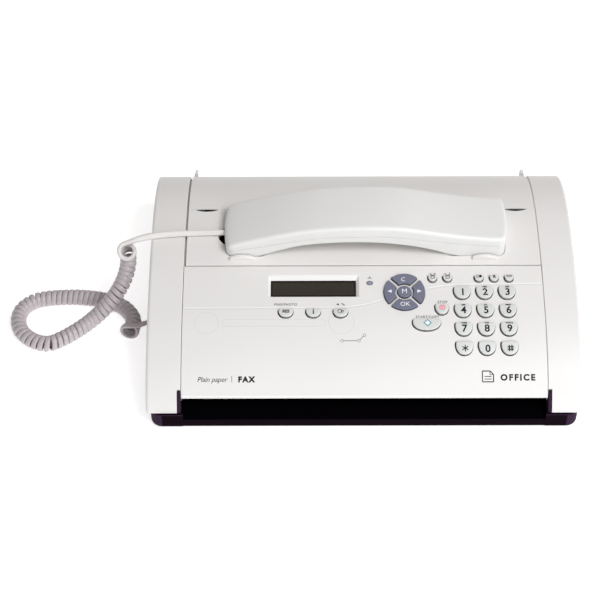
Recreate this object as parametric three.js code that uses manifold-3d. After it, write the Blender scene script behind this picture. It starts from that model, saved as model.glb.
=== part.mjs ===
// A plain-paper fax machine with a corded handset, as an assembly of separate pieces.
// Millimetres. +X is to the machine's right, +Y to its back, +Z up. The origin is the
// centre of the footprint, on the surface that the feet stand on.
import * as THREE from "three";
import { mergeVertices } from "three/addons/utils/BufferGeometryUtils.js";
import Module from "manifold-3d";

const wasm = await Module();
wasm.setup();

// ---------------------------------------------------------------- driving dimensions
const HALF_WIDTH = 165; // outer faces of the side covers
const HALF_DEPTH = 118;
const GAP = 0.3; // between pieces that touch
const WALL = 2.4; // moulded shell thickness
const BASE_BOTTOM = 2;
const BASE_TOP = 16;
const COVER_BOTTOM = BASE_TOP + GAP;
const BASE_HALF_WIDTH = 163.2;
const CHEEK_INNER = 139.5; // inner faces of the side covers
const LID_HALF_WIDTH = 137.9; // cradle cover and paper cover
const PANEL_HALF_WIDTH = 139.1;

// The arch that all the covers share: points (y, z) along the machine's side.
const ARCH = [[-118, 16.3], [-111.2, 25.2], [-94.5, 39], [-67.4, 51.9], [-42, 59.6], [-3.8, 67.6],
  [35, 70.6], [60.4, 68.8], [82.6, 62.9], [103, 51.2], [113, 38]];
const ARCH_TAIL = [117.6, 25]; // below this the back of a side cover is upright

const PANEL = { front: -111.3, back: -11.3 };
const CRADLE = { front: -10.9, back: 46.7 };
const LID = { front: 47.1, back: 113, tail: [115.4, 33.5] };
const PANEL_HINGE = { y: -15.5, z: 63.2, pin: 1.3, ear: 2.6 };
const LID_HINGE = { y: 109, z: 34, pin: 2, knuckle: 4.4 };
const HINGE_HOLE = 0.4; // radial clearance round a hinge pin
const PIN_END = 142; // the hinge pins reach this far from the centre

// Base: rounded tray, paper exit under the panel, fins beside the panel's front, screw posts.
const BASE = { corner: 9, frontInset: 0.5, rearInset: 0.3, rearWallTop: 29.5, rearWallHalf: 138.9 };
const EXIT = { halfWidth: 138.3, lip: 11, top: 20, shelfBack: -84, shelfTop: 10.6, shelfBottom: 8.6 };
const HORN = { inner: 139.8, outer: 142.2, back: -106.2, bottom: 9, below: 0.6 };
const FRAME_SIDE = [[-84, 4], [-6, 4], [-6, 50], [-30, 48], [-84, 30]]; // printing unit's side plate
const POST = { radius: 3, bottom: 4, top: 7.7, places: [[-100, 10], [-45, 10], [-100, 48], [-45, 48],
  [-26, 10], [126, 10], [-26, 100], [126, 100]] };
const FOOT = { radius: 7, top: 2.4, seat: 2.7, places: [[-146, -100], [146, -100], [-146, 100], [146, 100]],
  names: ["foot_front_left", "foot_front_right", "foot_rear_left", "foot_rear_right"] };

// Rear sockets, mains and telephone line, in one block behind the rear wall.
const SOCKETS = [{ x: [-126, -110], z: [9, 18] }, { x: [-102, -90], z: [8.5, 18.5] }];
const SOCKET_BLOCK = { x: [-130, -86], front: 100, back: 114.9, z: [4.8, 24], depth: 10 };

// Handset: outline seen from the front (x, z) and from above.
const HANDSET_TOP = [[-109, 76.5], [-100, 80.6], [-78, 87.4], [-56, 92.9], [-33, 96.8], [0, 98.8],
  [28, 97.8], [52, 93.8], [75, 90.2], [95, 88.2], [114, 87.4]];
const HANDSET_BOTTOM = [[-85, 66.4], [-78, 68.3], [-66, 73.2], [-49, 78.6], [-25, 81.8], [2, 82.4],
  [29, 79.9], [52.6, 74.6], [66, 69.6], [76, 66.4]];
const HANDSET_PARTING = [[-109, 71.6], [-80, 77.6], [-40, 86], [0, 88.6], [30, 87.4], [61.5, 82.2],
  [114, 76.4]];
const HANDSET = { left: -108.7, right: 113.5, front: -2.5, back: 42.5, bulge: 4.2, wall: 2.2 };
const WELL = { floor: 66, clearance: 1.4, inner: 40, cup: 4, bottom: 2 }; // seats of the handset's ends
const TAB = { left: [-104.5, -84.2], right: [85.4, 105.7], front: -6.2, back: -3.1, top: 69.4 };
const SLIT = { x: 123.6, halfLength: 9.4, depth: 2 };
const APRON = { thickness: 2, bottom: 57, top: 65.5 }; // wall under the cradle's front edge
const PLUNGER = { x: [84, 90], y: [17, 23], bottom: 50, clearance: 0.5 }; // hook switch
const FIN = { x: [134.4, 137.9], y: [109, 113.4], bottom: 37, top: 49 }; // stops on the paper cover

// Keys: centres (x, y) on the panel, outline width and height, and how far they stand proud.
const KEY = { proud: 2, root: -5, clearance: 0.4 };
const KEYPAD = { x: 76.5, pitch: 17.3, rows: [-35.8, -51, -65.4, -79.6], width: 13.3, height: 11.2 };
const KEYPAD_NAMES = ["1", "2", "3", "4", "5", "6", "7", "8", "9", "star", "0", "hash"];
const SMALL_KEY = { width: 7.1, height: 5.8, y: -23.5, line: [54.1, 65.7], set: [90.1, 101.8, 113.4] };
const SOFT_KEY = { width: 11.5, height: 7.4, y: -52.6, x: [-59.6, -38.5, -17.5] };
const STOP_KEY = { x: 60.4, y: -49.6, width: 10.6, height: 9.4 };
const START_KEY = { x: 48.3, y: -62, width: 22, height: 10 };
const NAV = { x: 31.9, y: -35.4, radius: 16.1, inner: 7, slot: 0.9,
  clearance: 0.3, centreWidth: 10.8, centreHeight: 10.4 };

const LCD = { x: -38.4, y: -31.8, width: 65.6, height: 13.6, thickness: 1.4, sunk: 1.7 };
const LCD_MODULE = { width: 69, height: 23, thickness: 4.2, sunk: 5.4 };
const BEZEL = { x: -38.2, y: -30.5, width: 70.4, height: 19.8, depth: 0.8 };
const LAMP = { x: 5.2, y: -27, width: 4.2, height: 3.2, length: 5.2, sunk: 4.8 };
const WINDOW_CLEARANCE = 0.4; // round the display's glass and the lamp
const KEY_BOARD = { depth: 6.5, thickness: 1.6, // below the panel's outer surface
  plates: [{ y: [-90, -45], x: [-70, 124] }, { y: [-46, -18], x: [-1, 124] }] };

// Paper drive. The gears are module 1.5 and stand in one plane on the right.
const MODULE = 1.5;
const PRESSURE_ANGLE = (20 * Math.PI) / 180;
const BACKLASH = 0.35; // taken off a tooth's thickness at the pitch circle
const PLATEN = { y: -45, z: 22, radius: 8, halfLength: 110, teeth: 14 };
const FEED = { y: -71, z: 20.5, radius: 6.5, halfLength: 105, teeth: 12 };
const MOTOR_TEETH = 10;
const FILM = { y: -20, z: 38, radius: 11.5, halfLength: 110 };
const SHAFT = { radius: 3, clearance: 0.5, end: 118 };
const FRAME_PLATE = [113, 115.5]; // side plates of the printing unit, from the centre
const GEAR = [118, 123]; // the gears' faces
const MOTOR_BODY = { face: 126, length: 24, radius: 9.5, shaft: 1.5, shaftEnd: 5 };

// Fixed pieces inside: boxes as [x0, x1], [y0, y1], [z0, z1].
const PRINT_HEAD = { x: 110, y: [-53, -37], z: [31, 36], ribs: [-50, -46, -42], rib: 1.6, ribTop: 40 };
const SCAN_BAR = [[-110, 110], [-78, -64], [28.4, 35.4]];
const BOARD = [8, 9.6]; // bottom and top of the two circuit boards
const MAIN_BOARD = { x: [-32, 132], y: [4, 106], // chips: x0, x1, y0, y1, height
  chips: [[10, 40, 24, 46, 3], [52, 74, 16, 30, 2.4], [86, 116, 68, 80, 8], [-18, 2, 76, 92, 6]] };
const POWER_BOARD = { x: [-106, -40], y: [4, 53], transformer: [[-98, -64], [10, 42], [9, 36]],
  capacitors: [{ x: -50, y: 16, top: 30 }, { x: -50, y: 34, top: 24 }], capacitor: 6 };
const SPEAKER = { x: -132, y: 20, z: 4.8, // profile: radius, height
  profile: [[0, 0], [20, 0], [20, 2.5], [12, 9], [12, 14], [0, 14]] };
const PAPER_TRAY = { plate: [[55, 16], [56.2, 14.2], [102.2, 43], [101, 44.8]], half: 112,
  guide: [[58, 17], [58, 30], [66, 36], [94, 48.5], [99, 43.4]], guides: [107, 109] };

// Cord: a flat lead from the handset, a curly stretch, and a lead into the base.
const LEAD_RADIUS = 1.5;
const COIL_RADIUS = 6.6;
const HANDSET_LEAD = [[-109.5, 18.6, 72.6], [-116, 18.6, 72.7], [-124, 18.7, 72.4], [-131.5, 18.5, 72.3],
  [-139, 18.2, 72.4], [-146, 17.7, 72.5], [-153, 17, 72.6], [-160, 16.1, 72.5], [-166, 15.4, 72.1],
  [-172, 14.6, 71.2], [-178, 13.6, 69.9]];
const CORD_COIL = [[-185.6, 8.2, 62.6], [-185.4, 11.2, 58.4], [-185.4, 12, 52.6], [-186.2, 9, 45],
  [-189.4, 3, 36], [-196, -5.5, 27.5], [-206, -12.6, 17.5], [-217.8, -19, 9.2], [-230, -28.5, 7],
  [-240, -35.8, 6.9], [-249.3, -40, 6.9], [-261, -37, 6.9], [-271, -28.2, 6.9], [-275.4, -16.3, 6.9],
  [-273.7, -4.2, 6.9], [-265.5, 4.7, 6.9], [-255, 8.2, 6.9], [-243.6, 9.4, 6.9],
  [-231.2, 9.7, 6.9], [-220.2, 8.7, 6.9], [-210.2, 6.8, 6.9], [-203.5, 4.4, 6.9],
  [-193.1, -0.8, 6.9], [-185.4, -9.8, 6.9], [-182.8, -19, 7], [-185.4, -29.4, 8.2]];
const JACK = { x: [-163.2, -150], y: [-28, -16], z: [4.8, 17.4] };
const BASE_LEAD = [[-177.6, -27.2, 14.2], [-172.6, -24.4, 13.6], [-168, -22.6, 12.9],
  [-163.6, -22, 12.6]];

// ---------------------------------------------------------------- small helpers
// A smooth function through points [u, v], straight beyond its ends.
function through(points) {
  const slope = (a, b) => (b[1] - a[1]) / (b[0] - a[0]);
  const last = points.length - 1;
  const tangents = points.map((p, i) => slope(points[Math.max(i - 1, 0)], points[Math.min(i + 1, last)]));
  return (u) => {
    if (u <= points[0][0]) return points[0][1] + (u - points[0][0]) * tangents[0];
    if (u >= points[last][0]) return points[last][1] + (u - points[last][0]) * tangents[last];
    const i = points.findIndex((p) => p[0] > u) - 1;
    const [a, b] = [points[i], points[i + 1]];
    const h = b[0] - a[0];
    const t = (u - a[0]) / h;
    return (1 + 2 * t) * (1 - t) ** 2 * a[1] + t * (1 - t) ** 2 * h * tangents[i]
      + t * t * (3 - 2 * t) * b[1] + t * t * (t - 1) * h * tangents[i + 1];
  };
}

const arch = through(ARCH);
const archSlope = (y) => (arch(y + 0.1) - arch(y - 0.1)) / 0.2;
const below = (depth) => (y) => arch(y) - depth * Math.hypot(1, archSlope(y));

// A closed outline between two functions, from u0 to u1.
function band(u0, u1, lower, upper, steps) {
  const us = Array.from({ length: steps + 1 }, (_, i) => u0 + ((u1 - u0) * i) / steps);
  return [...us.map((u) => [u, lower(u)]), ...us.reverse().map((u) => [u, upper(u)])];
}

const shapeOf = (points) => new THREE.Shape(points.map(([a, b]) => new THREE.Vector2(a, b)));
const prism = (shape, depth, curveSegments = 6) =>
  new THREE.ExtrudeGeometry(shape, { depth, bevelEnabled: false, curveSegments });
const basis = (x, y, z, origin) => new THREE.Matrix4()
  .makeBasis(new THREE.Vector3(...x), new THREE.Vector3(...y), new THREE.Vector3(...z))
  .setPosition(new THREE.Vector3(...origin));

// Prisms of an outline (y, z) along X, (x, z) along Y and (x, y) along Z.
const alongX = (points, x0, x1) =>
  prism(shapeOf(points), x1 - x0).applyMatrix4(basis([0, 1, 0], [0, 0, 1], [1, 0, 0], [x0, 0, 0]));
const alongY = (points, y0, y1) =>
  prism(shapeOf(points), y1 - y0).applyMatrix4(basis([1, 0, 0], [0, 0, 1], [0, -1, 0], [0, y1, 0]));
const alongZ = (shape, z0, z1) => prism(shape, z1 - z0).translate(0, 0, z0);
const block = (x, y, z) => new THREE.BoxGeometry(x[1] - x[0], y[1] - y[0], z[1] - z[0])
  .translate((x[0] + x[1]) / 2, (y[0] + y[1]) / 2, (z[0] + z[1]) / 2);
const rod = (y, z, radius, x0, x1, sides = 16) =>
  new THREE.CylinderGeometry(radius, radius, x1 - x0, sides).rotateZ(Math.PI / 2)
    .translate((x0 + x1) / 2, y, z);
const post = (x, y, radius, z0, z1, sides = 16) =>
  new THREE.CylinderGeometry(radius, radius, z1 - z0, sides).rotateX(Math.PI / 2)
    .translate(x, y, (z0 + z1) / 2);

function roundedRect(x0, x1, y0, y1, r) {
  const s = new THREE.Shape();
  s.moveTo(x0 + r, y0).lineTo(x1 - r, y0).absarc(x1 - r, y0 + r, r, -Math.PI / 2, 0);
  s.lineTo(x1, y1 - r).absarc(x1 - r, y1 - r, r, 0, Math.PI / 2);
  s.lineTo(x0 + r, y1).absarc(x0 + r, y1 - r, r, Math.PI / 2, Math.PI);
  s.lineTo(x0, y0 + r).absarc(x0 + r, y0 + r, r, Math.PI, 1.5 * Math.PI);
  return s;
}

// Solids for joining and cutting.
function solid(geometry) {
  if (geometry instanceof wasm.Manifold) return geometry;
  const bare = geometry.clone();
  bare.deleteAttribute("normal");
  bare.deleteAttribute("uv");
  const merged = mergeVertices(bare, 1e-4);
  return new wasm.Manifold(new wasm.Mesh({
    numProp: 3,
    vertProperties: new Float32Array(merged.attributes.position.array),
    triVerts: new Uint32Array(merged.index.array),
  }));
}
const join = (...pieces) => pieces.map(solid).reduce((a, b) => a.add(b));
const cut = (body, ...tools) => tools.map(solid).reduce((a, b) => a.subtract(b), solid(body));
const common = (a, b) => solid(a).intersect(solid(b));
function geometryOf(piece) {
  if (!(piece instanceof wasm.Manifold)) return piece;
  const { vertProperties, triVerts } = piece.getMesh();
  const geometry = new THREE.BufferGeometry();
  geometry.setAttribute("position", new THREE.BufferAttribute(new Float32Array(vertProperties), 3));
  geometry.setIndex([...triVerts]);
  geometry.computeVertexNormals();
  return geometry;
}
const both = (make) => [make(-1), make(1)]; // the left and the right one of a mirrored pair
const span = (side, a, b) => (side > 0 ? [a, b] : [-b, -a]);

// ---------------------------------------------------------------- materials
const plastic = (color, roughness) => new THREE.MeshStandardMaterial({ color, roughness, metalness: 0 });
const metal = (color, roughness) => new THREE.MeshStandardMaterial({ color, roughness, metalness: 0.9 });
const offWhite = () => plastic(0xdedbd7, 0.55);
const dark = () => plastic(0x241c2a, 0.5);
const keyGrey = () => plastic(0xd2d4d1, 0.5);
const navBlue = () => plastic(0x777a8e, 0.5);
const cordLilac = () => plastic(0xc3bcc0, 0.6);
const rubber = () => plastic(0x2a2a2c, 0.85);
const board = () => plastic(0x2f6b46, 0.6);

const fax = new THREE.Group();
function add(name, piece, material, parent = fax) {
  const mesh = new THREE.Mesh(geometryOf(piece), material);
  mesh.name = name;
  parent.add(mesh);
  return mesh;
}

// ---------------------------------------------------------------- base
function baseTray() {
  const [frontFace, rearFace] = [-HALF_DEPTH + BASE.frontInset, HALF_DEPTH - BASE.rearInset];
  const outline = (inset) => roundedRect(-BASE_HALF_WIDTH + inset, BASE_HALF_WIDTH - inset,
    frontFace + inset, rearFace - inset, BASE.corner - inset);
  const floor = BASE_BOTTOM + WALL;
  const tray = cut(alongZ(outline(0), BASE_BOTTOM, BASE_TOP), alongZ(outline(WALL), floor, 2 * BASE_TOP));
  const shelf = block([-EXIT.halfWidth, EXIT.halfWidth], [frontFace + 1, EXIT.shelfBack],
    [EXIT.shelfBottom, EXIT.shelfTop]);
  const rearWall = block([-BASE.rearWallHalf, BASE.rearWallHalf], [rearFace - WALL, rearFace],
    [floor - GAP, BASE.rearWallTop]);
  const horns = both((side) => alongX(band(frontFace, HORN.back, () => HORN.bottom,
    (y) => arch(y) - HORN.below, 6), ...span(side, HORN.inner, HORN.outer)));
  const framePlates = both((side) => alongX(FRAME_SIDE, ...span(side, ...FRAME_PLATE)));
  const posts = POST.places.map(([x, y]) => post(x, y, POST.radius, POST.bottom, POST.top, 8));
  const bores = [PLATEN, FEED, FILM].flatMap((r) => both((side) => rod(r.y, r.z,
    SHAFT.radius + SHAFT.clearance, ...span(side, FRAME_PLATE[0] - 1, FRAME_PLATE[1] + 1))));
  const mouth = block([-EXIT.halfWidth, EXIT.halfWidth], [-HALF_DEPTH - 1, -HALF_DEPTH + 4],
    [EXIT.lip, EXIT.top]);
  const footSeats = FOOT.places.map(([x, y]) => post(x, y, FOOT.radius + 0.4, 0, FOOT.seat));
  const jackWindow = block([-HALF_WIDTH, -HALF_WIDTH + 7], [JACK.y[0] - GAP, JACK.y[1] + GAP],
    [JACK.z[0] - GAP, JACK.z[1] + GAP]);
  const socketHoles = SOCKETS.map((s) => block(s.x, [rearFace - WALL - 1, HALF_DEPTH + 1], s.z));
  return cut(join(tray, shelf, rearWall, ...horns, ...framePlates, ...posts), ...bores, mouth,
    ...footSeats, jackWindow, ...socketHoles);
}
add("base_tray", baseTray(), dark());
FOOT.places.forEach(([x, y], i) => add(FOOT.names[i], post(x, y, FOOT.radius, 0, FOOT.top), rubber()));

const socketRecesses = SOCKETS.map((s) => block(s.x,
  [SOCKET_BLOCK.back - SOCKET_BLOCK.depth, HALF_DEPTH], s.z));
add("socket_block", cut(block(SOCKET_BLOCK.x, [SOCKET_BLOCK.front, SOCKET_BLOCK.back - GAP],
  SOCKET_BLOCK.z), ...socketRecesses), dark());
add("handset_jack", block(JACK.x, JACK.y, JACK.z), plastic(0x3a3540, 0.5));

// ---------------------------------------------------------------- side covers
const SIDE_HOLLOW = { inner: 142, depth: 10 }; // the inner wall is 2.5 mm, and open 10 mm below the arch
function sideCover(side) {
  const outline = [[-HALF_DEPTH, COVER_BOTTOM], [HALF_DEPTH, COVER_BOTTOM], ARCH_TAIL,
    ...band(-HALF_DEPTH, ARCH.at(-1)[0], () => 0, arch, 24).slice(25)];
  const hollow = (x0, x1, depth, front, back) =>
    alongX(band(front, back, () => 0, below(depth), 20), ...span(side, x0, x1));
  const pinHole = (hinge) => rod(hinge.y, hinge.z, hinge.pin + HINGE_HOLE,
    ...span(side, CHEEK_INNER - 1.5, PIN_END + 2));
  const jackHole = block([-HALF_WIDTH - 1, -HALF_WIDTH + 7], [JACK.y[0] - GAP, JACK.y[1] + GAP],
    [10, JACK.z[1] + GAP]);
  return cut(alongX(outline, ...span(side, CHEEK_INNER, HALF_WIDTH)),
    hollow(SIDE_HOLLOW.inner, HALF_WIDTH - WALL, WALL, -HALF_DEPTH + 12, HALF_DEPTH - 8),
    hollow(CHEEK_INNER - 1, SIDE_HOLLOW.inner + 1, SIDE_HOLLOW.depth, -HALF_DEPTH + 21, HALF_DEPTH - 11),
    block(span(side, CHEEK_INNER - 1, HORN.outer + GAP), [-HALF_DEPTH - 2, HORN.back + 0.4], [10, 40]),
    pinHole(PANEL_HINGE), pinHole(LID_HINGE), ...(side < 0 ? [jackHole] : []));
}
add("left_side_cover", sideCover(-1), offWhite());
add("right_side_cover", sideCover(1), offWhite());

// ---------------------------------------------------------------- cradle
// Plan of the handset, or of the well that it sits in, with bulged ends.
function handsetPlan(grow) {
  const left = HANDSET.left - grow;
  const right = HANDSET.right + grow;
  const [front, back] = [HANDSET.front - grow / 2, HANDSET.back + grow / 2];
  const middle = (front + back) / 2;
  const s = new THREE.Shape();
  s.moveTo(left + HANDSET.bulge + 3, front).lineTo(right - HANDSET.bulge - 3, front);
  s.quadraticCurveTo(right - HANDSET.bulge, front, right - HANDSET.bulge * 0.8, front + 4);
  s.quadraticCurveTo(right + HANDSET.bulge * 0.3, middle, right - HANDSET.bulge * 0.8, back - 4);
  s.quadraticCurveTo(right - HANDSET.bulge, back, right - HANDSET.bulge - 3, back);
  s.lineTo(left + HANDSET.bulge + 3, back);
  s.quadraticCurveTo(left + HANDSET.bulge, back, left + HANDSET.bulge * 0.8, back - 4);
  s.quadraticCurveTo(left - HANDSET.bulge * 0.3, middle, left + HANDSET.bulge * 0.8, front + 4);
  s.quadraticCurveTo(left + HANDSET.bulge, front, left + HANDSET.bulge + 3, front);
  return s;
}

// Underside of the handset's ends and grip, and the seat that follows it with a clearance.
const handsetArch = through(HANDSET_BOTTOM);
const handsetBottom = (x) => (x < HANDSET_BOTTOM[0][0] || x > HANDSET_BOTTOM.at(-1)[0]
  ? WELL.floor + 0.4 : Math.max(handsetArch(x), WELL.floor + 0.4));
const seat = (x) => Math.max(handsetBottom(x) - WELL.clearance, WELL.floor);

function cradleCover() {
  const across = [-LID_HALF_WIDTH, LID_HALF_WIDTH];
  const underArch = alongX(band(CRADLE.front, CRADLE.back, () => APRON.bottom, arch, 14), ...across);
  const skin = alongX(band(CRADLE.front, CRADLE.back, below(WALL), arch, 14), ...across);
  const apron = block(across, [CRADLE.front, CRADLE.front + APRON.thickness], [APRON.bottom, APRON.top]);
  const ends = [[-HALF_DEPTH, -WELL.inner], [WELL.inner, HALF_DEPTH]];
  const cups = ends.map(([x0, x1]) => common(alongZ(handsetPlan(WELL.clearance + WELL.cup), 50, 80),
    alongY(band(x0, x1, (x) => seat(x) - WELL.bottom, () => 80, 20), -20, 60)));
  const wells = ends.map(([x0, x1]) => common(alongZ(handsetPlan(WELL.clearance), 50, 95),
    alongY(band(x0, x1, seat, () => 95, 20), -20, 60)));
  const tabs = [TAB.left, TAB.right].map(([x0, x1]) => alongX([[TAB.front, 65.9], [TAB.back, 65.9],
    [TAB.back, TAB.top - 0.3], [TAB.back - 0.6, TAB.top], [TAB.front + 1.2, TAB.top - 0.6],
    [TAB.front, TAB.top - 1.6]], x0, x1));
  const slits = both((side) => {
    const [x0, x1] = [side * SLIT.x - SLIT.halfLength, side * SLIT.x + SLIT.halfLength];
    const lens = new THREE.Shape();
    lens.moveTo(x0, CRADLE.back + 3).lineTo(x0, CRADLE.back);
    lens.quadraticCurveTo(side * SLIT.x, CRADLE.back - 2 * SLIT.depth, x1, CRADLE.back);
    lens.lineTo(x1, CRADLE.back + 3);
    return alongZ(lens, 60, 80);
  });
  const grow = (range) => [range[0] - PLUNGER.clearance, range[1] + PLUNGER.clearance];
  const plungerHole = block(grow(PLUNGER.x), grow(PLUNGER.y), [PLUNGER.bottom, 70]);
  const cornerSweep = Math.hypot(PANEL.back - PANEL_HINGE.y, arch(PANEL.back) - 0.9 - PANEL_HINGE.z);
  const panelClearance = rod(PANEL_HINGE.y, PANEL_HINGE.z, cornerSweep + 0.4, -CHEEK_INNER, CHEEK_INNER, 48);
  const shell = join(skin, apron, common(join(...cups), underArch));
  return cut(join(cut(shell, ...wells), ...tabs), ...slits, plungerHole, panelClearance);
}
add("cradle_cover", cradleCover(), offWhite());
add("hook_plunger", block(PLUNGER.x, PLUNGER.y, [PLUNGER.bottom, handsetBottom(PLUNGER.x[1]) - GAP]),
  offWhite());

// ---------------------------------------------------------------- paper cover and paper tray
function paperCover() {
  const across = [-LID_HALF_WIDTH, LID_HALF_WIDTH];
  const outer = band(LID.front, LID.back, () => 0, arch, 14).slice(15).reverse();
  const inner = band(LID.front, LID.back - WALL, () => 0, below(WALL), 14).slice(15);
  const skin = alongX([...outer, LID.tail, [LID.tail[0] - WALL, LID.tail[1]], ...inner], ...across);
  const lip = block(across, [LID.front, LID.front + 2], [60, 68.5]);
  const knuckles = both((side) => join(
    rod(LID_HINGE.y, LID_HINGE.z, LID_HINGE.knuckle, ...span(side, 131, 133.5), 12),
    rod(LID_HINGE.y, LID_HINGE.z, LID_HINGE.pin, ...span(side, 133, PIN_END), 12)));
  const [x0, x1] = FIN.x;
  const fins = both((side) => alongY([[x0, FIN.bottom], [x1, FIN.bottom], [x1 - 0.5, FIN.top - 1.6],
    [x1 - 1.5, FIN.top], [x0, FIN.top]].map(([x, z]) => [side * x, z]), ...FIN.y));
  return join(skin, lip, ...knuckles, ...fins);
}
add("paper_cover", paperCover(), offWhite());

const trayGuides = both((side) => alongX(PAPER_TRAY.guide, ...span(side, ...PAPER_TRAY.guides)));
add("paper_tray", join(alongX(PAPER_TRAY.plate, -PAPER_TRAY.half, PAPER_TRAY.half), ...trayGuides),
  plastic(0x2c2732, 0.6));

// ---------------------------------------------------------------- control panel
// The frame of the panel's outer surface at (x, y): X across, Y up the slope, Z outwards.
function onPanel(x, y) {
  const along = new THREE.Vector3(0, 1, archSlope(y)).normalize();
  const out = new THREE.Vector3(1, 0, 0).cross(along);
  return new THREE.Matrix4().makeBasis(new THREE.Vector3(1, 0, 0), along, out)
    .setPosition(x, y, arch(y));
}

// A key's outline: a nearly straight top edge and a rounded lower side.
function shield(width, height) {
  const [w, h] = [width / 2, height / 2];
  const s = new THREE.Shape();
  s.moveTo(-0.9 * w, 0.86 * h).quadraticCurveTo(0, 1.12 * h, 0.9 * w, 0.86 * h);
  s.bezierCurveTo(1.12 * w, 0.4 * h, 0.95 * w, -h, 0, -h);
  s.bezierCurveTo(-0.95 * w, -h, -1.12 * w, 0.4 * h, -0.9 * w, 0.86 * h);
  return s;
}
function oval(width, height) {
  const s = new THREE.Shape();
  s.absellipse(0, 0, width / 2, height / 2, 0, 2 * Math.PI);
  return s;
}
// One quarter of the ring of direction keys, centred on the given angle.
function quarter(angle, grow) {
  const s = new THREE.Shape();
  const [outer, inner] = [NAV.radius + grow, NAV.inner - grow];
  const half = (radius) => Math.PI / 4 - (NAV.slot - grow) / radius;
  s.absarc(0, 0, outer, angle - half(outer), angle + half(outer), false);
  s.absarc(0, 0, inner, angle + half(inner), angle - half(inner), true);
  return s;
}

const KEYS = []; // every key: name, place, outline, cut-out and colour
const addKey = (name, x, y, outline, window, material) =>
  KEYS.push({ name, x, y, outline, window, material });
const shieldKey = (name, x, y, width, height, material = keyGrey()) => addKey(name, x, y,
  shield(width, height), shield(width + 2 * KEY.clearance, height + 2 * KEY.clearance), material);

KEYPAD_NAMES.forEach((label, i) => shieldKey(`key_${label}`, KEYPAD.x + (i % 3) * KEYPAD.pitch,
  KEYPAD.rows[Math.floor(i / 3)], KEYPAD.width, KEYPAD.height));
SMALL_KEY.line.forEach((x, i) => shieldKey(`key_line_${"ab"[i]}`, x, SMALL_KEY.y,
  SMALL_KEY.width, SMALL_KEY.height));
SMALL_KEY.set.forEach((x, i) => shieldKey(`key_set_${"abc"[i]}`, x, SMALL_KEY.y,
  SMALL_KEY.width, SMALL_KEY.height));
SOFT_KEY.x.forEach((x, i) => shieldKey(`key_soft_${"abc"[i]}`, x, SOFT_KEY.y,
  SOFT_KEY.width, SOFT_KEY.height));
shieldKey("key_stop", STOP_KEY.x, STOP_KEY.y, STOP_KEY.width, STOP_KEY.height);
shieldKey("key_start", START_KEY.x, START_KEY.y, START_KEY.width, START_KEY.height);
["right", "up", "left", "down"].forEach((direction, i) =>
  addKey(`key_nav_${direction}`, NAV.x, NAV.y, quarter((i * Math.PI) / 2, 0),
    quarter((i * Math.PI) / 2, NAV.clearance), navBlue()));
addKey("key_nav_centre", NAV.x, NAV.y, oval(NAV.centreWidth, NAV.centreHeight),
  oval(NAV.centreWidth + 2 * NAV.clearance, NAV.centreHeight + 2 * NAV.clearance), navBlue());

const KEY_SEGMENTS = 4; // chords in each curve of a key's outline
const PANEL_EDGE = { chamfer: 0.9, lip: 3.4, lipDepth: 1.4 };
function panelShell() {
  const [front, back] = [PANEL.front, PANEL.back];
  const { chamfer, lip, lipDepth } = PANEL_EDGE;
  const skin = alongX([
    ...band(front + 2.2, back, () => 0, below(WALL), 20).slice(21).reverse(),
    [back, arch(back) - chamfer], [back - chamfer, arch(back - chamfer)],
    ...band(front, back - 1.5, () => 0, arch, 20).slice(21),
    [front, arch(front) - lip], [front + lipDepth, arch(front) - lip],
  ], -PANEL_HALF_WIDTH, PANEL_HALF_WIDTH);
  const ears = both((side) => join(
    rod(PANEL_HINGE.y, PANEL_HINGE.z, PANEL_HINGE.ear, ...span(side, 136.2, 138.8), 12),
    rod(PANEL_HINGE.y, PANEL_HINGE.z, PANEL_HINGE.pin, ...span(side, 138, PIN_END), 12)));
  const through = (shape) => prism(shape, 20, KEY_SEGMENTS).translate(0, 0, -12);
  const windows = KEYS.map((key) => through(key.window).applyMatrix4(onPanel(key.x, key.y)));
  const bezel = new THREE.BoxGeometry(BEZEL.width, BEZEL.height, 10).translate(0, 0, 5 - BEZEL.depth)
    .applyMatrix4(onPanel(BEZEL.x, BEZEL.y));
  const room = 2 * WINDOW_CLEARANCE;
  const glassWindow = new THREE.BoxGeometry(LCD.width + room, LCD.height + room, 30)
    .applyMatrix4(onPanel(LCD.x, LCD.y));
  const lampWindow = through(oval(LAMP.width + room, LAMP.height + room))
    .applyMatrix4(onPanel(LAMP.x, LAMP.y));
  return cut(join(skin, ...ears), ...windows, bezel, glassWindow, lampWindow);
}
add("panel_shell", panelShell(), offWhite());

// Pieces placed on the panel's frame, and plates that follow its curve.
function placed(name, geometry, x, y, material) {
  add(name, geometry, material).applyMatrix4(onPanel(x, y));
}
const slab = ({ width, height, thickness, sunk }) =>
  new THREE.BoxGeometry(width, height, thickness).translate(0, 0, -sunk);
placed("lcd_window", slab(LCD), LCD.x, LCD.y, plastic(0x35322b, 0.25));
placed("lcd_module", slab(LCD_MODULE), LCD.x, LCD.y, metal(0x8c8c90, 0.5));
placed("status_lamp", prism(oval(LAMP.width, LAMP.height), LAMP.length).translate(0, 0, -LAMP.sunk),
  LAMP.x, LAMP.y, plastic(0x9aa3ad, 0.35));
add("key_board", join(...KEY_BOARD.plates.map(({ x, y }) =>
  alongX(band(...y, below(KEY_BOARD.depth + KEY_BOARD.thickness), below(KEY_BOARD.depth), 8), ...x))),
board());

for (const key of KEYS) {
  placed(key.name, prism(key.outline, KEY.proud - KEY.root, KEY_SEGMENTS).translate(0, 0, KEY.root),
    key.x, key.y, key.material);
}

// ---------------------------------------------------------------- handset
const handsetTop = through(HANDSET_TOP);
const handsetParting = through(HANDSET_PARTING);

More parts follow.
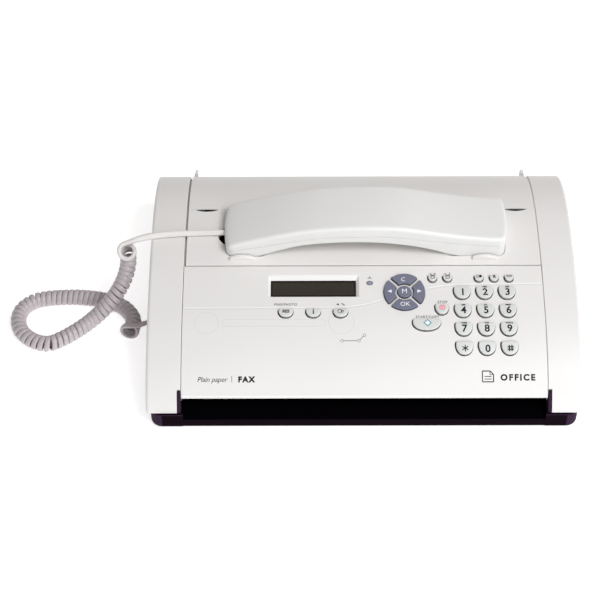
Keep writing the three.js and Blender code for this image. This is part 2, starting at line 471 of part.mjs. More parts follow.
function handsetSlice(lower, upper, inset) {
  const [front, back] = [HANDSET.front + inset, HANDSET.back - inset];
  return common(alongY(band(HANDSET.left - 6, HANDSET.right + 6, lower, upper, 30), front, back),
    alongZ(handsetPlan(-inset), 50, 120));
}
function handsetShell(lower, upper, coreLower, coreUpper) {
  return cut(handsetSlice(lower, upper, 0), handsetSlice(coreLower, coreUpper, HANDSET.wall));
}
const partingUp = (offset) => (x) => handsetParting(x) + offset;
add("handset_top_shell", handsetShell(partingUp(GAP / 2), handsetTop,
  partingUp(-5), (x) => handsetTop(x) - HANDSET.wall), offWhite());
add("handset_bottom_shell", handsetShell(handsetBottom, partingUp(-GAP / 2),
  (x) => handsetBottom(x) + HANDSET.wall, partingUp(5)), offWhite());

// ---------------------------------------------------------------- handset cord
function tube(points, radius, sides, steps) {
  const section = new THREE.Shape();
  section.absarc(0, 0, radius, 0, 2 * Math.PI);
  const extrudePath = new THREE.CatmullRomCurve3(points.map((p) => new THREE.Vector3(...p)));
  return new THREE.ExtrudeGeometry(section, { extrudePath, steps, curveSegments: sides / 2 });
}
add("handset_lead", tube(HANDSET_LEAD, LEAD_RADIUS, 8, 24), cordLilac());
add("cord_coil", tube(CORD_COIL, COIL_RADIUS, 10, 60), cordLilac());
add("base_lead", tube(BASE_LEAD, LEAD_RADIUS, 8, 6), cordLilac());

// ---------------------------------------------------------------- paper drive
// Involute gear outline. The first tooth is centred on the given angle.
const pitchRadius = (teeth) => (MODULE * teeth) / 2;
function gearOutline(teeth, phase) {
  const pitch = pitchRadius(teeth);
  const base = pitch * Math.cos(PRESSURE_ANGLE);
  const [root, tip] = [pitch - 1.25 * MODULE, pitch + 0.9 * MODULE];
  const roll = (radius) => {
    const t = Math.sqrt(Math.max((radius / base) ** 2 - 1, 0));
    return t - Math.atan(t);
  };
  const halfAt = (radius) => ((Math.PI * MODULE) / 2 - BACKLASH) / (2 * pitch)
    + roll(pitch) - roll(Math.max(radius, base));
  const at = (radius, angle) => [radius * Math.cos(angle), radius * Math.sin(angle)];
  const radii = [root, base * 1.002, pitch, (pitch + tip) / 2, tip];
  return Array.from({ length: teeth }, (_, k) => phase + (2 * Math.PI * k) / teeth).flatMap((centre) => [
    ...radii.map((r) => at(r, centre - halfAt(r))),
    ...radii.toReversed().map((r) => at(r, centre + halfAt(r))),
  ]);
}

// The motor gear meshes with both rollers' gears: its axis closes the triangle of centres.
const MOTOR = (() => {
  const toPlaten = pitchRadius(PLATEN.teeth) + pitchRadius(MOTOR_TEETH);
  const toFeed = pitchRadius(FEED.teeth) + pitchRadius(MOTOR_TEETH);
  const [dy, dz] = [FEED.y - PLATEN.y, FEED.z - PLATEN.z];
  const distance = Math.hypot(dy, dz);
  const along = (toPlaten ** 2 - toFeed ** 2 + distance ** 2) / (2 * distance);
  const aside = Math.sqrt(toPlaten ** 2 - along ** 2);
  return { y: PLATEN.y + (along * dy + aside * dz) / distance,
    z: PLATEN.z + (along * dz - aside * dy) / distance, teeth: MOTOR_TEETH };
})();

// The phase that puts gear b in mesh with gear a, whose first tooth is at phaseA.
function meshPhase(a, b, phaseA) {
  const line = Math.atan2(b.z - a.z, b.y - a.y);
  const offset = ((phaseA - line) * a.teeth) / (2 * Math.PI);
  return line + Math.PI + ((2 * Math.PI) / b.teeth) * (-offset - 0.5);
}
const motorPhase = 0;
const gearOf = (gear, phase, x0, x1) => alongX(gearOutline(gear.teeth, phase)
  .map(([y, z]) => [gear.y + y, gear.z + z]), x0, x1);

function roller(place, sides, geared) {
  const drum = rod(place.y, place.z, place.radius, -place.halfLength, place.halfLength, sides);
  const shaft = rod(place.y, place.z, SHAFT.radius, -SHAFT.end, geared ? GEAR[1] : SHAFT.end);
  const gears = geared ? [gearOf(place, meshPhase(MOTOR, place, motorPhase), ...GEAR)] : [];
  return join(drum, shaft, ...gears);
}
add("platen_roller", roller(PLATEN, 24, true), rubber());
add("feed_roller", roller(FEED, 20, true), rubber());
add("film_roll", roller(FILM, 24, false), plastic(0x1d1c22, 0.3));

const { face, length, radius, shaft, shaftEnd } = MOTOR_BODY;
add("motor_gear", join(gearOf(MOTOR, motorPhase, GEAR[0] - 0.4, GEAR[1] + 0.4),
  rod(MOTOR.y, MOTOR.z, shaft, GEAR[0] + 2, face + shaftEnd, 12)), metal(0xb8a06a, 0.4));
add("drive_motor", cut(rod(MOTOR.y, MOTOR.z, radius, face, face + length, 20),
  rod(MOTOR.y, MOTOR.z, shaft + 0.5, face - 1, face + shaftEnd + 1, 12)), metal(0x9a9ca0, 0.4));

// ---------------------------------------------------------------- fixed inner pieces
const headRibs = PRINT_HEAD.ribs.map((y) => block([2 - PRINT_HEAD.x, PRINT_HEAD.x - 2],
  [y, y + PRINT_HEAD.rib], [PRINT_HEAD.z[1] - 1, PRINT_HEAD.ribTop]));
add("print_head", join(block([-PRINT_HEAD.x, PRINT_HEAD.x], PRINT_HEAD.y, PRINT_HEAD.z), ...headRibs),
  metal(0xa5a7aa, 0.35));
add("scan_bar", block(...SCAN_BAR), plastic(0x26282c, 0.4));

const chips = MAIN_BOARD.chips.map(([x0, x1, y0, y1, height]) =>
  block([x0, x1], [y0, y1], [BOARD[0] + 1, BOARD[1] + height]));
add("main_board", join(block(MAIN_BOARD.x, MAIN_BOARD.y, BOARD), ...chips), board());
const capacitors = POWER_BOARD.capacitors.map(({ x, y, top }) =>
  post(x, y, POWER_BOARD.capacitor, BOARD[0] + 1, top));
add("power_board", join(block(POWER_BOARD.x, POWER_BOARD.y, BOARD), block(...POWER_BOARD.transformer),
  ...capacitors), board());
add("loudspeaker", new THREE.LatheGeometry(SPEAKER.profile.map(([r, z]) => new THREE.Vector2(r, z)), 24)
  .rotateX(Math.PI / 2).translate(SPEAKER.x, SPEAKER.y, SPEAKER.z), plastic(0x2b2b2e, 0.6));

export default fax;
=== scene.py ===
"""Looks of the fax machine: camera and light, cord, covers, handset, panel, marks, base, inside."""
import math

import bmesh
import bpy
from mathutils import Matrix, Vector


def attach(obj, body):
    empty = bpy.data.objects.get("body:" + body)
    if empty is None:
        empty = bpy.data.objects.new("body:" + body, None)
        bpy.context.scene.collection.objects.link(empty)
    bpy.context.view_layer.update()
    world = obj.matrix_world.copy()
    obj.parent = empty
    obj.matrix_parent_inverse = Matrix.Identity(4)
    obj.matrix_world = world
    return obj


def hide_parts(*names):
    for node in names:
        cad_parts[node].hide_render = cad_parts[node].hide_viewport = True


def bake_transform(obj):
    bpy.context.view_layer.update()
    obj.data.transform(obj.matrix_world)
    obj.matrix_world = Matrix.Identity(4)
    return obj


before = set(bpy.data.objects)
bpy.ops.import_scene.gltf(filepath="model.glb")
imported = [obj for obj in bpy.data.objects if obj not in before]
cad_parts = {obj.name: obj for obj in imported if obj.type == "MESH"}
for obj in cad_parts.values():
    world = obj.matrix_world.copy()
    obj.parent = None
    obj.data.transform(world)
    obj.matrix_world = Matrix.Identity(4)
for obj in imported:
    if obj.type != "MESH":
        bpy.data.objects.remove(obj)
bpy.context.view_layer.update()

# Sizes are in millimetres, in the CAD's frame, and most repeat the CAD source. The back of the arch, the
# front of the panel and of the base, the handset's top, the display's place, the paper stops and the outer
# faces of the side covers differ from it by up to about 3 mm, because the photo asked for it.
MM = 0.001
ARCH = [(-118, 16.3), (-111.2, 25.2), (-94.5, 39), (-67.4, 51.9), (-42, 59.6), (-3.8, 67.6),
        (35, 70.6), (60.4, 68.9), (82.6, 63.4), (103, 52.7), (113, 39.6)]
HALF_WIDTH, HALF_DEPTH, WALL = 165, 118, 2.4
COVER_BOTTOM = 16.3
CHEEK_SPREAD = 1.3  # the seen side covers stand this far outside the CAD ones
CHEEK_INNER, LID_HALF, PANEL_HALF, PIN_END = 139.5, 137.9, 139.1, 142
PANEL_FRONT, PANEL_BACK = -110.4, -11.3
CRADLE_FRONT, CRADLE_BACK = -10.9, 46.7
LID_FRONT, LID_BACK, LID_TAIL = 47.1, 113, (115.4, 33.5)
PANEL_HINGE, LID_HINGE = (-15.5, 63.2), (109, 34)
HANDSET_TOP = [(-109, 77.1), (-100, 81.3), (-78, 88.2), (-56, 93.9), (-33, 97.9), (0, 99.9),
               (28, 98.6), (52, 94.2), (75, 90), (95, 87.6), (114, 86.4)]
HANDSET_BOTTOM = [(-85, 66.4), (-78, 68.3), (-66, 73.2), (-49, 78.6), (-25, 81.8), (2, 82.4),
                  (29, 79.9), (52.6, 74.6), (66, 69.6), (76, 66.4)]
HANDSET_PARTING = [(-109, 71.6), (-80, 77.6), (-40, 86), (0, 88.6), (30, 87.4), (61.5, 82.2), (114, 76.4)]


# ---------- curves and outlines
def steps(a, b, count):
    return [a + (b - a) * i / count for i in range(count + 1)]


def through(points):
    """A smooth function through points (u, v), straight beyond its ends."""
    def slope(a, b):
        return (b[1] - a[1]) / (b[0] - a[0])
    last = len(points) - 1
    tangents = [slope(points[max(i - 1, 0)], points[min(i + 1, last)]) for i in range(last + 1)]

    def at(u):
        if u <= points[0][0]:
            return points[0][1] + (u - points[0][0]) * tangents[0]
        if u >= points[last][0]:
            return points[last][1] + (u - points[last][0]) * tangents[last]
        i = next(k for k in range(last + 1) if points[k][0] > u) - 1
        (ua, va), (ub, vb) = points[i], points[i + 1]
        h = ub - ua
        t = (u - ua) / h
        return ((1 + 2 * t) * (1 - t) ** 2 * va + t * (1 - t) ** 2 * h * tangents[i]
                + t * t * (3 - 2 * t) * vb + t * t * (t - 1) * h * tangents[i + 1])
    return at


arch = through(ARCH)
handset_top = through(HANDSET_TOP)
handset_parting = through(HANDSET_PARTING)
handset_grip = through(HANDSET_BOTTOM)


def arch_slope(y):
    return (arch(y + 0.1) - arch(y - 0.1)) / 0.2


def below(depth):
    """The surface at a depth under the arch, measured square to it."""
    return lambda y: arch(y) - depth * math.hypot(1, arch_slope(y))


def band(u0, u1, lower, upper, count):
    """A closed outline between two functions."""
    us = steps(u0, u1, count)
    return [(u, lower(u)) for u in us] + [(u, upper(u)) for u in reversed(us)]


def quarter_round(radius, count):
    """Pairs (inset, drop) from the side of a rounded edge to its top."""
    if not radius:
        return [(0, 0)]
    return [(radius * (1 - math.cos(a)), radius * (1 - math.sin(a))) for a in steps(0, math.pi / 2, count)]


def edge_drop(radius, distance):
    """How far a rounded edge lies under the full surface, at this distance from its border."""
    rho = min(radius, max(0, radius - distance))
    return radius - math.sqrt(radius * radius - rho * rho)


def oval(width, height, count=32):
    return [(width / 2 * math.cos(a), height / 2 * math.sin(a)) for a in steps(0, 2 * math.pi, count)[:-1]]


def rounded(points, count=4):
    """A polygon whose corners (u, v, radius) are arcs."""
    result = []
    for i, (u, v, radius) in enumerate(points):
        here = Vector((u, v))
        before = Vector(points[i - 1][:2]) - here
        after = Vector(points[(i + 1) % len(points)][:2]) - here
        if radius <= 0:
            result.append((u, v))
            continue
        a, b = before.normalized(), after.normalized()
        half = math.acos(max(-1, min(1, a.dot(b)))) / 2
        reach = min(radius / math.tan(half), before.length * 0.49, after.length * 0.49)
        radius = reach * math.tan(half)
        centre = here + (a + b).normalized() * (radius / math.sin(half))
        start, end = here + a * reach - centre, here + b * reach - centre
        turn = math.atan2(start.x * end.y - start.y * end.x, start.dot(end))
        for t in steps(0, turn, count):
            result.append((centre.x + start.x * math.cos(t) - start.y * math.sin(t),
                           centre.y + start.x * math.sin(t) + start.y * math.cos(t)))
    return result


def rectangle(x0, x1, y0, y1, radius, count=4):
    return rounded([(x0, y0, radius), (x1, y0, radius), (x1, y1, radius), (x0, y1, radius)], count)


def shield(width, height, count=8):
    """A key's outline: a nearly straight top edge and a rounded lower side."""
    w, h = width / 2, height / 2

    def bezier(controls, n):
        points = []
        for t in steps(0, 1, n)[:-1]:
            row = [Vector(c) for c in controls]
            while len(row) > 1:
                row = [a.lerp(b, t) for a, b in zip(row, row[1:])]
            points.append(tuple(row[0]))
        return points
    left, right = (-0.9 * w, 0.86 * h), (0.9 * w, 0.86 * h)
    return (bezier([left, (-1.12 * w, 0.4 * h), (-0.95 * w, -h), (0, -h)], count)
            + bezier([(0, -h), (0.95 * w, -h), (1.12 * w, 0.4 * h), right], count)
            + bezier([right, (0, 1.12 * h), left], count))


def inset(outline, distance):
    """An anticlockwise outline moved inwards by a distance."""
    result = []
    for i, p in enumerate(outline):
        here = Vector(p)
        a = (here - Vector(outline[i - 1])).normalized()
        b = (Vector(outline[(i + 1) % len(outline)]) - here).normalized()
        normal = Vector((-a.y - b.y, a.x + b.x))
        spread = max(normal.length_squared / 2, 0.3)
        result.append(tuple(here + normal * (distance / spread)))
    return result


def anticlockwise(outline):
    area = sum(a[0] * b[1] - b[0] * a[1] for a, b in zip(outline, outline[1:] + outline[:1]))
    return outline if area > 0 else outline[::-1]


# ---------- solids
AXES = {"x": lambda u, v, w: (w, u, v), "y": lambda u, v, w: (u, w, v), "z": lambda u, v, w: (u, v, w)}
CAP_OVERHANG = 0.55  # a key top's rim stands out this far from its stem


class Solid:
    """Closed bodies, built up body by body in millimetres."""

    def __init__(self):
        self.verts, self.faces = [], []

    def add(self, verts, faces, place=None):
        base = len(self.verts)
        self.verts += [place @ Vector(v) if place else Vector(v) for v in verts]
        self.faces += [tuple(base + i for i in f) for f in faces]
        return self

    def rings(self, loops, place=None, closed=False):
        """Loops of equal length joined in turn, with a face on each end unless they close."""
        n, count = len(loops[0]), len(loops)
        faces = []
        for k in range(count if closed else count - 1):
            a, b = k * n, ((k + 1) % count) * n
            faces += [(a + i, a + (i + 1) % n, b + (i + 1) % n, b + i) for i in range(n)]
        if not closed:
            faces += [tuple(reversed(range(n))), tuple(range((count - 1) * n, count * n))]
        return self.add([v for loop in loops for v in loop], faces, place)

    def bar(self, outline, lo, hi, axis="z", radii=(0, 0), place=None, count=4, floor=None):
        """An outline carried along an axis, (y, z) along x, (x, z) along y or (x, y) along z,
        with its first and last edges rounded."""
        outline = anticlockwise(list(outline))
        first = [(lo + drop, across) for across, drop in reversed(quarter_round(radii[0], count))]
        last = [(hi - drop, across) for across, drop in quarter_round(radii[1], count)]
        loops = []
        for w, across in first + last:
            section = inset(outline, across) if across else outline
            if floor is not None:
                section = [(u, max(v, floor)) for u, v in section]
            loops.append([AXES[axis](u, v, w) for u, v in section])
        return self.rings(loops, place)

    def box(self, x, y, z, radius=0, place=None):
        return self.bar(rectangle(*x, *y, 1.4 * radius), *z, radii=(radius, radius), place=place)

    def turned(self, axis, centre, profile, sides=32):
        """A turned body: (radius, place along the axis) of each of its rings in order."""
        loops = [[AXES[axis](centre[0] + u, centre[1] + v, w) for u, v in oval(2 * r, 2 * r, sides)]
                 for r, w in profile]
        return self.rings(loops)

    def rod(self, axis, centre, radius, lo, hi, edge=0, sides=32):
        outline = [(centre[0] + u, centre[1] + v) for u, v in oval(2 * radius, 2 * radius, sides)]
        return self.bar(outline, lo, hi, axis, (edge, edge), count=2)

    def cushion(self, plan, top, base, radius, foot=0.0, cells=(24, 8)):
        """A body over a Plan, between top(x, y) and base(x, y), with rounded edges."""
        def stops(length, count):
            near = [a / length for a, _ in quarter_round(max(radius, foot, plan.corner), 5)]
            return near + steps(near[-1], 1 - near[-1], count)[1:-1] + [1 - t for t in reversed(near)]
        us = stops(plan.x[1] - plan.x[0], cells[0])
        vs = stops(plan.y[1] - plan.y[0], cells[1])
        nu, nv = len(us), len(vs)
        upper, lower = [], []
        for u in us:
            for v in vs:
                x, y = plan.point(u, v)
                d = plan.border(x, y)
                upper.append((x, y, top(x, y) - edge_drop(radius, d)))
                lower.append((x, y, base(x, y) + edge_drop(foot, d)))
        total = nu * nv
        faces = []
        for i in range(nu - 1):
            for j in range(nv - 1):
                a, b, c, d = i * nv + j, (i + 1) * nv + j, (i + 1) * nv + j + 1, i * nv + j + 1
                faces += [(a, b, c, d), (total + d, total + c, total + b, total + a)]
        rim = ([i * nv for i in range(nu)] + [(nu - 1) * nv + j for j in range(1, nv)]
               + [i * nv + nv - 1 for i in range(nu - 2, -1, -1)] + list(range(nv - 2, 0, -1)))
        for a, b in zip(rim, rim[1:] + rim[:1]):
            faces.append((b, a, total + a, total + b))
        return self.add(upper + lower, faces)

    def cap(self, outline, top, base, radius, place=None, crown=0.0, centre=(0, 0)):
        """A key top: a stem, a rim that stands out from it, a rounded edge and a slight crown."""
        outline = anticlockwise(list(outline))
        stem = inset(outline, CAP_OVERHANG)
        loops = [[(x, y, z) for x, y in stem] for z in (base, top - radius - 0.3)]
        for d, drop in quarter_round(radius, 4):
            loops.append([(x, y, top - drop) for x, y in inset(outline, d)])
        inner = inset(outline, radius)
        for t in (0.25, 0.5, 0.75, 0.97):
            rise = crown * (1 - (1 - t) ** 2)
            loops.append([(x + (centre[0] - x) * t, y + (centre[1] - y) * t, top + rise) for x, y in inner])
        return self.rings(loops, place)

    def mesh(self, name):
        data = bpy.data.meshes.new(name)
        data.from_pydata([v * MM for v in self.verts], [], self.faces)
        bm = bmesh.new()
        bm.from_mesh(data)
        bmesh.ops.remove_doubles(bm, verts=bm.verts, dist=1e-6)
        bmesh.ops.recalc_face_normals(bm, faces=bm.faces)
        bm.to_mesh(data)
        bm.free()
        return data

    def object(self, name):
        obj = bpy.data.objects.new(name, self.mesh(name))
        bpy.context.collection.objects.link(obj)
        return obj


def evaluated_mesh(obj):
    """A mesh of the object as it is seen, with its modifiers applied."""
    bpy.context.view_layer.update()
    depsgraph = bpy.context.evaluated_depsgraph_get()
    return bpy.data.meshes.new_from_object(obj.evaluated_get(depsgraph))


def settle(obj):
    """Applies the modifiers."""
    data = evaluated_mesh(obj)
    obj.modifiers.clear()
    obj.data = data
    return obj


def combine(obj, solid, operation):
    """Cuts or joins a Solid, none of whose bodies may touch each other."""
    tool = solid.object("tool")
    m = obj.modifiers.new("combine", "BOOLEAN")
    m.object, m.operation, m.solver = tool, operation, "EXACT"
    settle(obj)
    bpy.data.objects.remove(tool)
    return obj


def cut(obj, solid):
    return combine(obj, solid, "DIFFERENCE")


def join(obj, solid):
    return combine(obj, solid, "UNION")


def smooth(obj, angle=32):
    """Merges doubled points and shades all edges smooth that are blunter than the angle."""
    bm = bmesh.new()
    bm.from_mesh(obj.data)
    bmesh.ops.remove_doubles(bm, verts=bm.verts, dist=2e-6)
    bmesh.ops.dissolve_degenerate(bm, edges=bm.edges, dist=2e-6)
    bm.to_mesh(obj.data)
    bm.free()
    obj.data.shade_smooth()
    obj.data.set_sharp_from_angle(angle=math.radians(angle))
    m = obj.modifiers.new("normals", "WEIGHTED_NORMAL")
    m.keep_sharp, m.weight = True, 60
    return settle(obj)


def piece(obj, body, material, *nodes, slot=None):
    """Gives a piece its material, the body it rides on and the CAD nodes it stands for."""
    obj.data.materials.clear()
    obj.data.materials.append(material)
    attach(obj, body)
    if nodes:
        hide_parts(*nodes)
    return obj


# ---------- camera, floor and light
CAMERA_PLACE = (-0.04278, -0.9185, 1.03376)
CAMERA_ELEVATION, CAMERA_YAW, CAMERA_ROLL = math.radians(48), math.radians(-0.39), math.radians(-0.43)
LENS = 102
FLOOR_REACH, FLOOR_THICKNESS = 4000, 20


def make_camera():
    e, yaw, roll = CAMERA_ELEVATION, CAMERA_YAW, CAMERA_ROLL
    forward = Vector((math.sin(yaw) * math.cos(e), math.cos(yaw) * math.cos(e), -math.sin(e)))
    right = Vector((math.cos(yaw), -math.sin(yaw), 0))
    up = right.cross(forward)
    right, up = (right * math.cos(roll) + up * math.sin(roll), up * math.cos(roll) - right * math.sin(roll))
    data = bpy.data.cameras.new("camera")
    data.lens, data.sensor_width = LENS, 36
    data.clip_start, data.clip_end = 0.05, 50
    cam = bpy.data.objects.new("camera", data)
    cam.matrix_world = Matrix((right, up, -forward)).transposed().to_4x4()
    cam.location = CAMERA_PLACE
    bpy.context.collection.objects.link(cam)
    bpy.context.scene.camera = cam


def new_material(name):
    m = bpy.data.materials.new(name)
    m.use_nodes = True
    return m, m.node_tree.nodes["Principled BSDF"]


def area_light(name, place, aim, size, power, colour):
    data = bpy.data.lights.new(name, "AREA")
    data.color, data.energy = colour, power
    data.shape, data.size = "DISK", size
    light = bpy.data.objects.new(name, data)
    light.location = place
    light.rotation_mode = "QUATERNION"
    light.rotation_quaternion = (Vector(aim) - Vector(place)).to_track_quat("-Z", "Y")
    bpy.context.collection.objects.link(light)


def make_floor():
    reach = (-FLOOR_REACH, FLOOR_REACH)
    floor = Solid().box(reach, reach, (-FLOOR_THICKNESS, 0)).object("floor")
    m, shader = new_material("floor")
    shader.inputs["Base Color"].default_value = (0.93, 0.93, 0.93, 1)
    shader.inputs["Roughness"].default_value = 0.9
    shader.inputs["Emission Color"].default_value = (1, 1, 1, 1)
    shader.inputs["Emission Strength"].default_value = 0.6
    floor.data.materials.append(m)


def make_studio():
    scene = bpy.context.scene
    scene.view_settings.view_transform = "Standard"
    world = bpy.data.worlds.new("studio")
    world.use_nodes = True
    background = world.node_tree.nodes["Background"]
    background.inputs["Color"].default_value = (1, 0.975, 0.965, 1)
    background.inputs["Strength"].default_value = 0.37
    scene.world = world
    area_light("front_softbox", (0.9, -2.3, 1.0), (0, 0, 0.03), 1.4, 12, (0.88, 0.95, 1.0))
    area_light("top_softbox", (1.1, -0.9, 1.9), (0, 0, 0), 1.3, 38, (0.97, 0.985, 1.0))
    make_floor()


make_camera()
make_studio()


# ---------- materials
def add_node(material, kind, **inputs):
    """Adds a shader node and sets its inputs; an underscore stands for the space in a name."""
    node = material.node_tree.nodes.new("ShaderNode" + kind)
    for name, value in inputs.items():
        node.inputs[name.replace("_", " ")].default_value = value
    return node


def procedural(name, colour, roughness, vary=0.03, grain=900.0, bump=0.05, metallic=0.0, spread=0.06,
               shine=0.5):
    """Moulded plastic or metal: slow colour drift, fine surface grain and uneven gloss."""
    m, shader = new_material(name)
    shader.inputs["Metallic"].default_value = metallic
    shader.inputs["Specular IOR Level"].default_value = shine
    place = add_node(m, "TexCoord")
    drift = add_node(m, "TexNoise", Scale=18, Detail=4)
    fine = add_node(m, "TexNoise", Scale=grain, Detail=2)
    ramp = add_node(m, "ValToRGB")
    for element, position, share in zip(ramp.color_ramp.elements, (0.3, 0.7), (1 - vary, 1 + vary)):
        element.position = position
        element.color = [min(1, c * share) for c in colour] + [1]
    gloss = add_node(m, "MapRange", To_Min=roughness - spread, To_Max=roughness + spread)
    relief = add_node(m, "Bump", Strength=bump, Distance=0.0002)
    for source, output, target, entry in ((place, "Object", drift, "Vector"), (drift, "Fac", ramp, "Fac"),
                                          (ramp, "Color", shader, "Base Color"),
                                          (place, "Object", fine, "Vector"), (fine, "Fac", gloss, "Value"),
                                          (gloss, "Result", shader, "Roughness"),
                                          (fine, "Fac", relief, "Height"),
                                          (relief, "Normal", shader, "Normal")):
        m.node_tree.links.new(source.outputs[output], target.inputs[entry])
    return m


def tint(material, colour, attribute):
    """Turns the material's colour into another one where the mesh attribute of that name is 1."""
    links = material.node_tree.links
    base = material.node_tree.nodes["Principled BSDF"].inputs["Base Color"]
    share, mix = add_node(material, "Attribute"), add_node(material, "Mix")
    share.attribute_name, mix.data_type = attribute, "RGBA"
    links.new(share.outputs["Fac"], mix.inputs["Factor"])
    links.new(base.links[0].from_socket, mix.inputs["A"])
    mix.inputs["B"].default_value = (*colour, 1)
    links.new(mix.outputs["Result"], base)


def mark_faces(obj, attribute, share):
    """Stores share(face) at every face, for tint."""
    data = obj.data.attributes.new(attribute, "FLOAT", "FACE").data
    for i, face in enumerate(obj.data.polygons):
        data[i].value = share(face)


OFF_WHITE = procedural("off_white", (0.785, 0.762, 0.742), 0.42, vary=0.012, bump=0.12)
# Painted highlight: the sloping frame round the display is coloured lighter than the panel.
tint(OFF_WHITE, (0.87, 0.86, 0.85), "painted_frame_highlight")
HANDSET_WHITE = procedural("handset_white", (0.78, 0.77, 0.755), 0.34, vary=0.012, bump=0.06)
DARK = procedural("dark_plastic", (0.006, 0.0022, 0.005), 0.5, vary=0.15, bump=0.1, shine=0.01)
# Painted sheen: the upright ends of the tray are coloured lighter and more purple than the rest of it.
tint(DARK, (0.036, 0.019, 0.039), "painted_end_sheen")
# Painted shade: the tray's floor seen through the paper exit is coloured darker still.
tint(DARK, (0.0012, 0.0007, 0.0016), "painted_exit_shade")
BLACK = procedural("black_plastic", (0.010, 0.009, 0.011), 0.5, vary=0.2, bump=0.1, shine=0.3)
KEY_GREY = procedural("key_grey", (0.66, 0.67, 0.65), 0.38, vary=0.02)
NAV_BLUE = procedural("nav_blue", (0.165, 0.172, 0.235), 0.4, vary=0.04)
RUBBER = procedural("rubber", (0.02, 0.02, 0.021), 0.8, vary=0.15, grain=1500, bump=0.3)
FILM_BLACK = procedural("ink_film", (0.012, 0.011, 0.014), 0.22, vary=0.2, grain=300, bump=0.1)
BOARD_GREEN = procedural("green_board", (0.03, 0.16, 0.07), 0.45, vary=0.25, grain=260, bump=0.3)
BOARD_BROWN = procedural("brown_board", (0.10, 0.045, 0.035), 0.5, vary=0.2, grain=260, bump=0.2)
STEEL = procedural("steel", (0.42, 0.43, 0.44), 0.35, vary=0.06, grain=1200, bump=0.15, metallic=0.95)
BRASS = procedural("brass", (0.55, 0.42, 0.17), 0.35, vary=0.08, grain=1200, bump=0.15, metallic=0.95)
GLASS = procedural("display_border", (0.012, 0.006, 0.005), 0.3, vary=0.1, bump=0.01, spread=0.03,
                   shine=0.15)
DISPLAY = procedural("display", (0.037, 0.031, 0.024), 0.4, vary=0.06, grain=1400, bump=0.1, shine=0.15)
LENS_GREY = procedural("lamp_lens", (0.27, 0.29, 0.36), 0.2, vary=0.08, bump=0.02)
INK = procedural("ink", (0.020, 0.014, 0.022), 0.5, vary=0.1, bump=0.0, shine=0.2)
FAINT_INK = procedural("faint_ink", (0.13, 0.12, 0.13), 0.5, vary=0.05, bump=0.0)
# Painted shade at the foot of the panel's raised line, and the faint moulded outlines.
GHOST_INK_AND_SHADE = procedural("ghost_ink_and_painted_shade", (0.66, 0.64, 0.62), 0.45, vary=0.03, bump=0.0)
# Painted highlight on the panel's raised lines.
HIGHLIGHT_LINE_WHITE = procedural("painted_highlight_line", (0.88, 0.865, 0.85), 0.4, vary=0.01, bump=0.0)
LABEL_GREY = procedural("label", (0.55, 0.56, 0.55), 0.5, vary=0.03, bump=0.02)
WHITE_INK = procedural("white_ink", (0.85, 0.85, 0.87), 0.5, vary=0.03, bump=0.0)
RED_INK = procedural("red_ink", (0.80, 0.16, 0.22), 0.45, vary=0.06, bump=0.0)
TEAL_INK = procedural("teal_ink", (0.10, 0.32, 0.34), 0.45, vary=0.06, bump=0.0)
# The cord's base colour is a darker lilac grey, painted shade for the coil and its tail; along the lead it
# turns into the cord's own light colour.
CORD = procedural("cord_plastic", (0.475, 0.425, 0.44), 0.36, vary=0.03, bump=0.06)
tint(CORD, (0.76, 0.735, 0.71), "lead_unshaded_share")


# ---------- cord
LEAD_ROOT = (-106.6, 18.6, 72.5)  # inside the handset
LEAD = [(-109.5, 18.6, 72.6), (-116, 18.6, 72.7), (-124, 18.7, 72.4), (-131.5, 18.5, 72.3),
        (-139, 18.2, 72.4), (-146, 17.7, 72.5), (-153, 17, 72.6), (-160, 16.1, 72.5), (-166, 15.4, 72.1),
        (-172, 14.6, 71.2), (-178, 13.6, 69.9)]
COIL = [(-185.6, 8.2, 62.6), (-185.4, 11.2, 58.4), (-185.4, 12, 52.6), (-186.2, 9, 45), (-189.4, 3, 36),
        (-196, -5.5, 27.5), (-206, -12.6, 17.5), (-217.8, -19, 9.2), (-230, -28.5, 7), (-240, -35.8, 6.9),
        (-249.3, -40, 6.9), (-261, -37, 6.9), (-271, -28.2, 6.9), (-275.4, -16.3, 6.9),
        (-273.7, -4.2, 6.9), (-265.5, 4.7, 6.9), (-255, 8.2, 6.9), (-243.6, 9.4, 6.9), (-231.2, 9.7, 6.9),
        (-220.2, 8.7, 6.9), (-210.2, 6.8, 6.9), (-203.5, 4.4, 6.9), (-193.1, -0.8, 6.9),
        (-185.4, -9.8, 6.9), (-182.8, -19, 7), (-185.4, -29.4, 8.2)]
TAIL = [(-177.6, -27.2, 14.2), (-172.6, -24.4, 13.6), (-168, -22.6, 12.9), (-163.6, -22, 12.6)]
COIL_OUTER, COIL_PITCH, TURN_POINTS = 6.6, 4.5, 16
WIDE_START, WIDE_END = 1.2, 1.6  # the first and the last turn are this much wider
CORD_WIDTH, CORD_THICKNESS, LEAD_WIDTHS, THICKER_LEAD = 4.3, 2.7, (4.4, 5.8), 1.0
CORD_SQUARENESS = 0.7  # 1 is an oval section, less is squarer
CORD_SIDES, LEAD_SPACING = 12, 1.5
FIRST_TURN_JOINT = Vector((1.2, 0.1, 0.5))  # from the coil's first point to the lead's last one


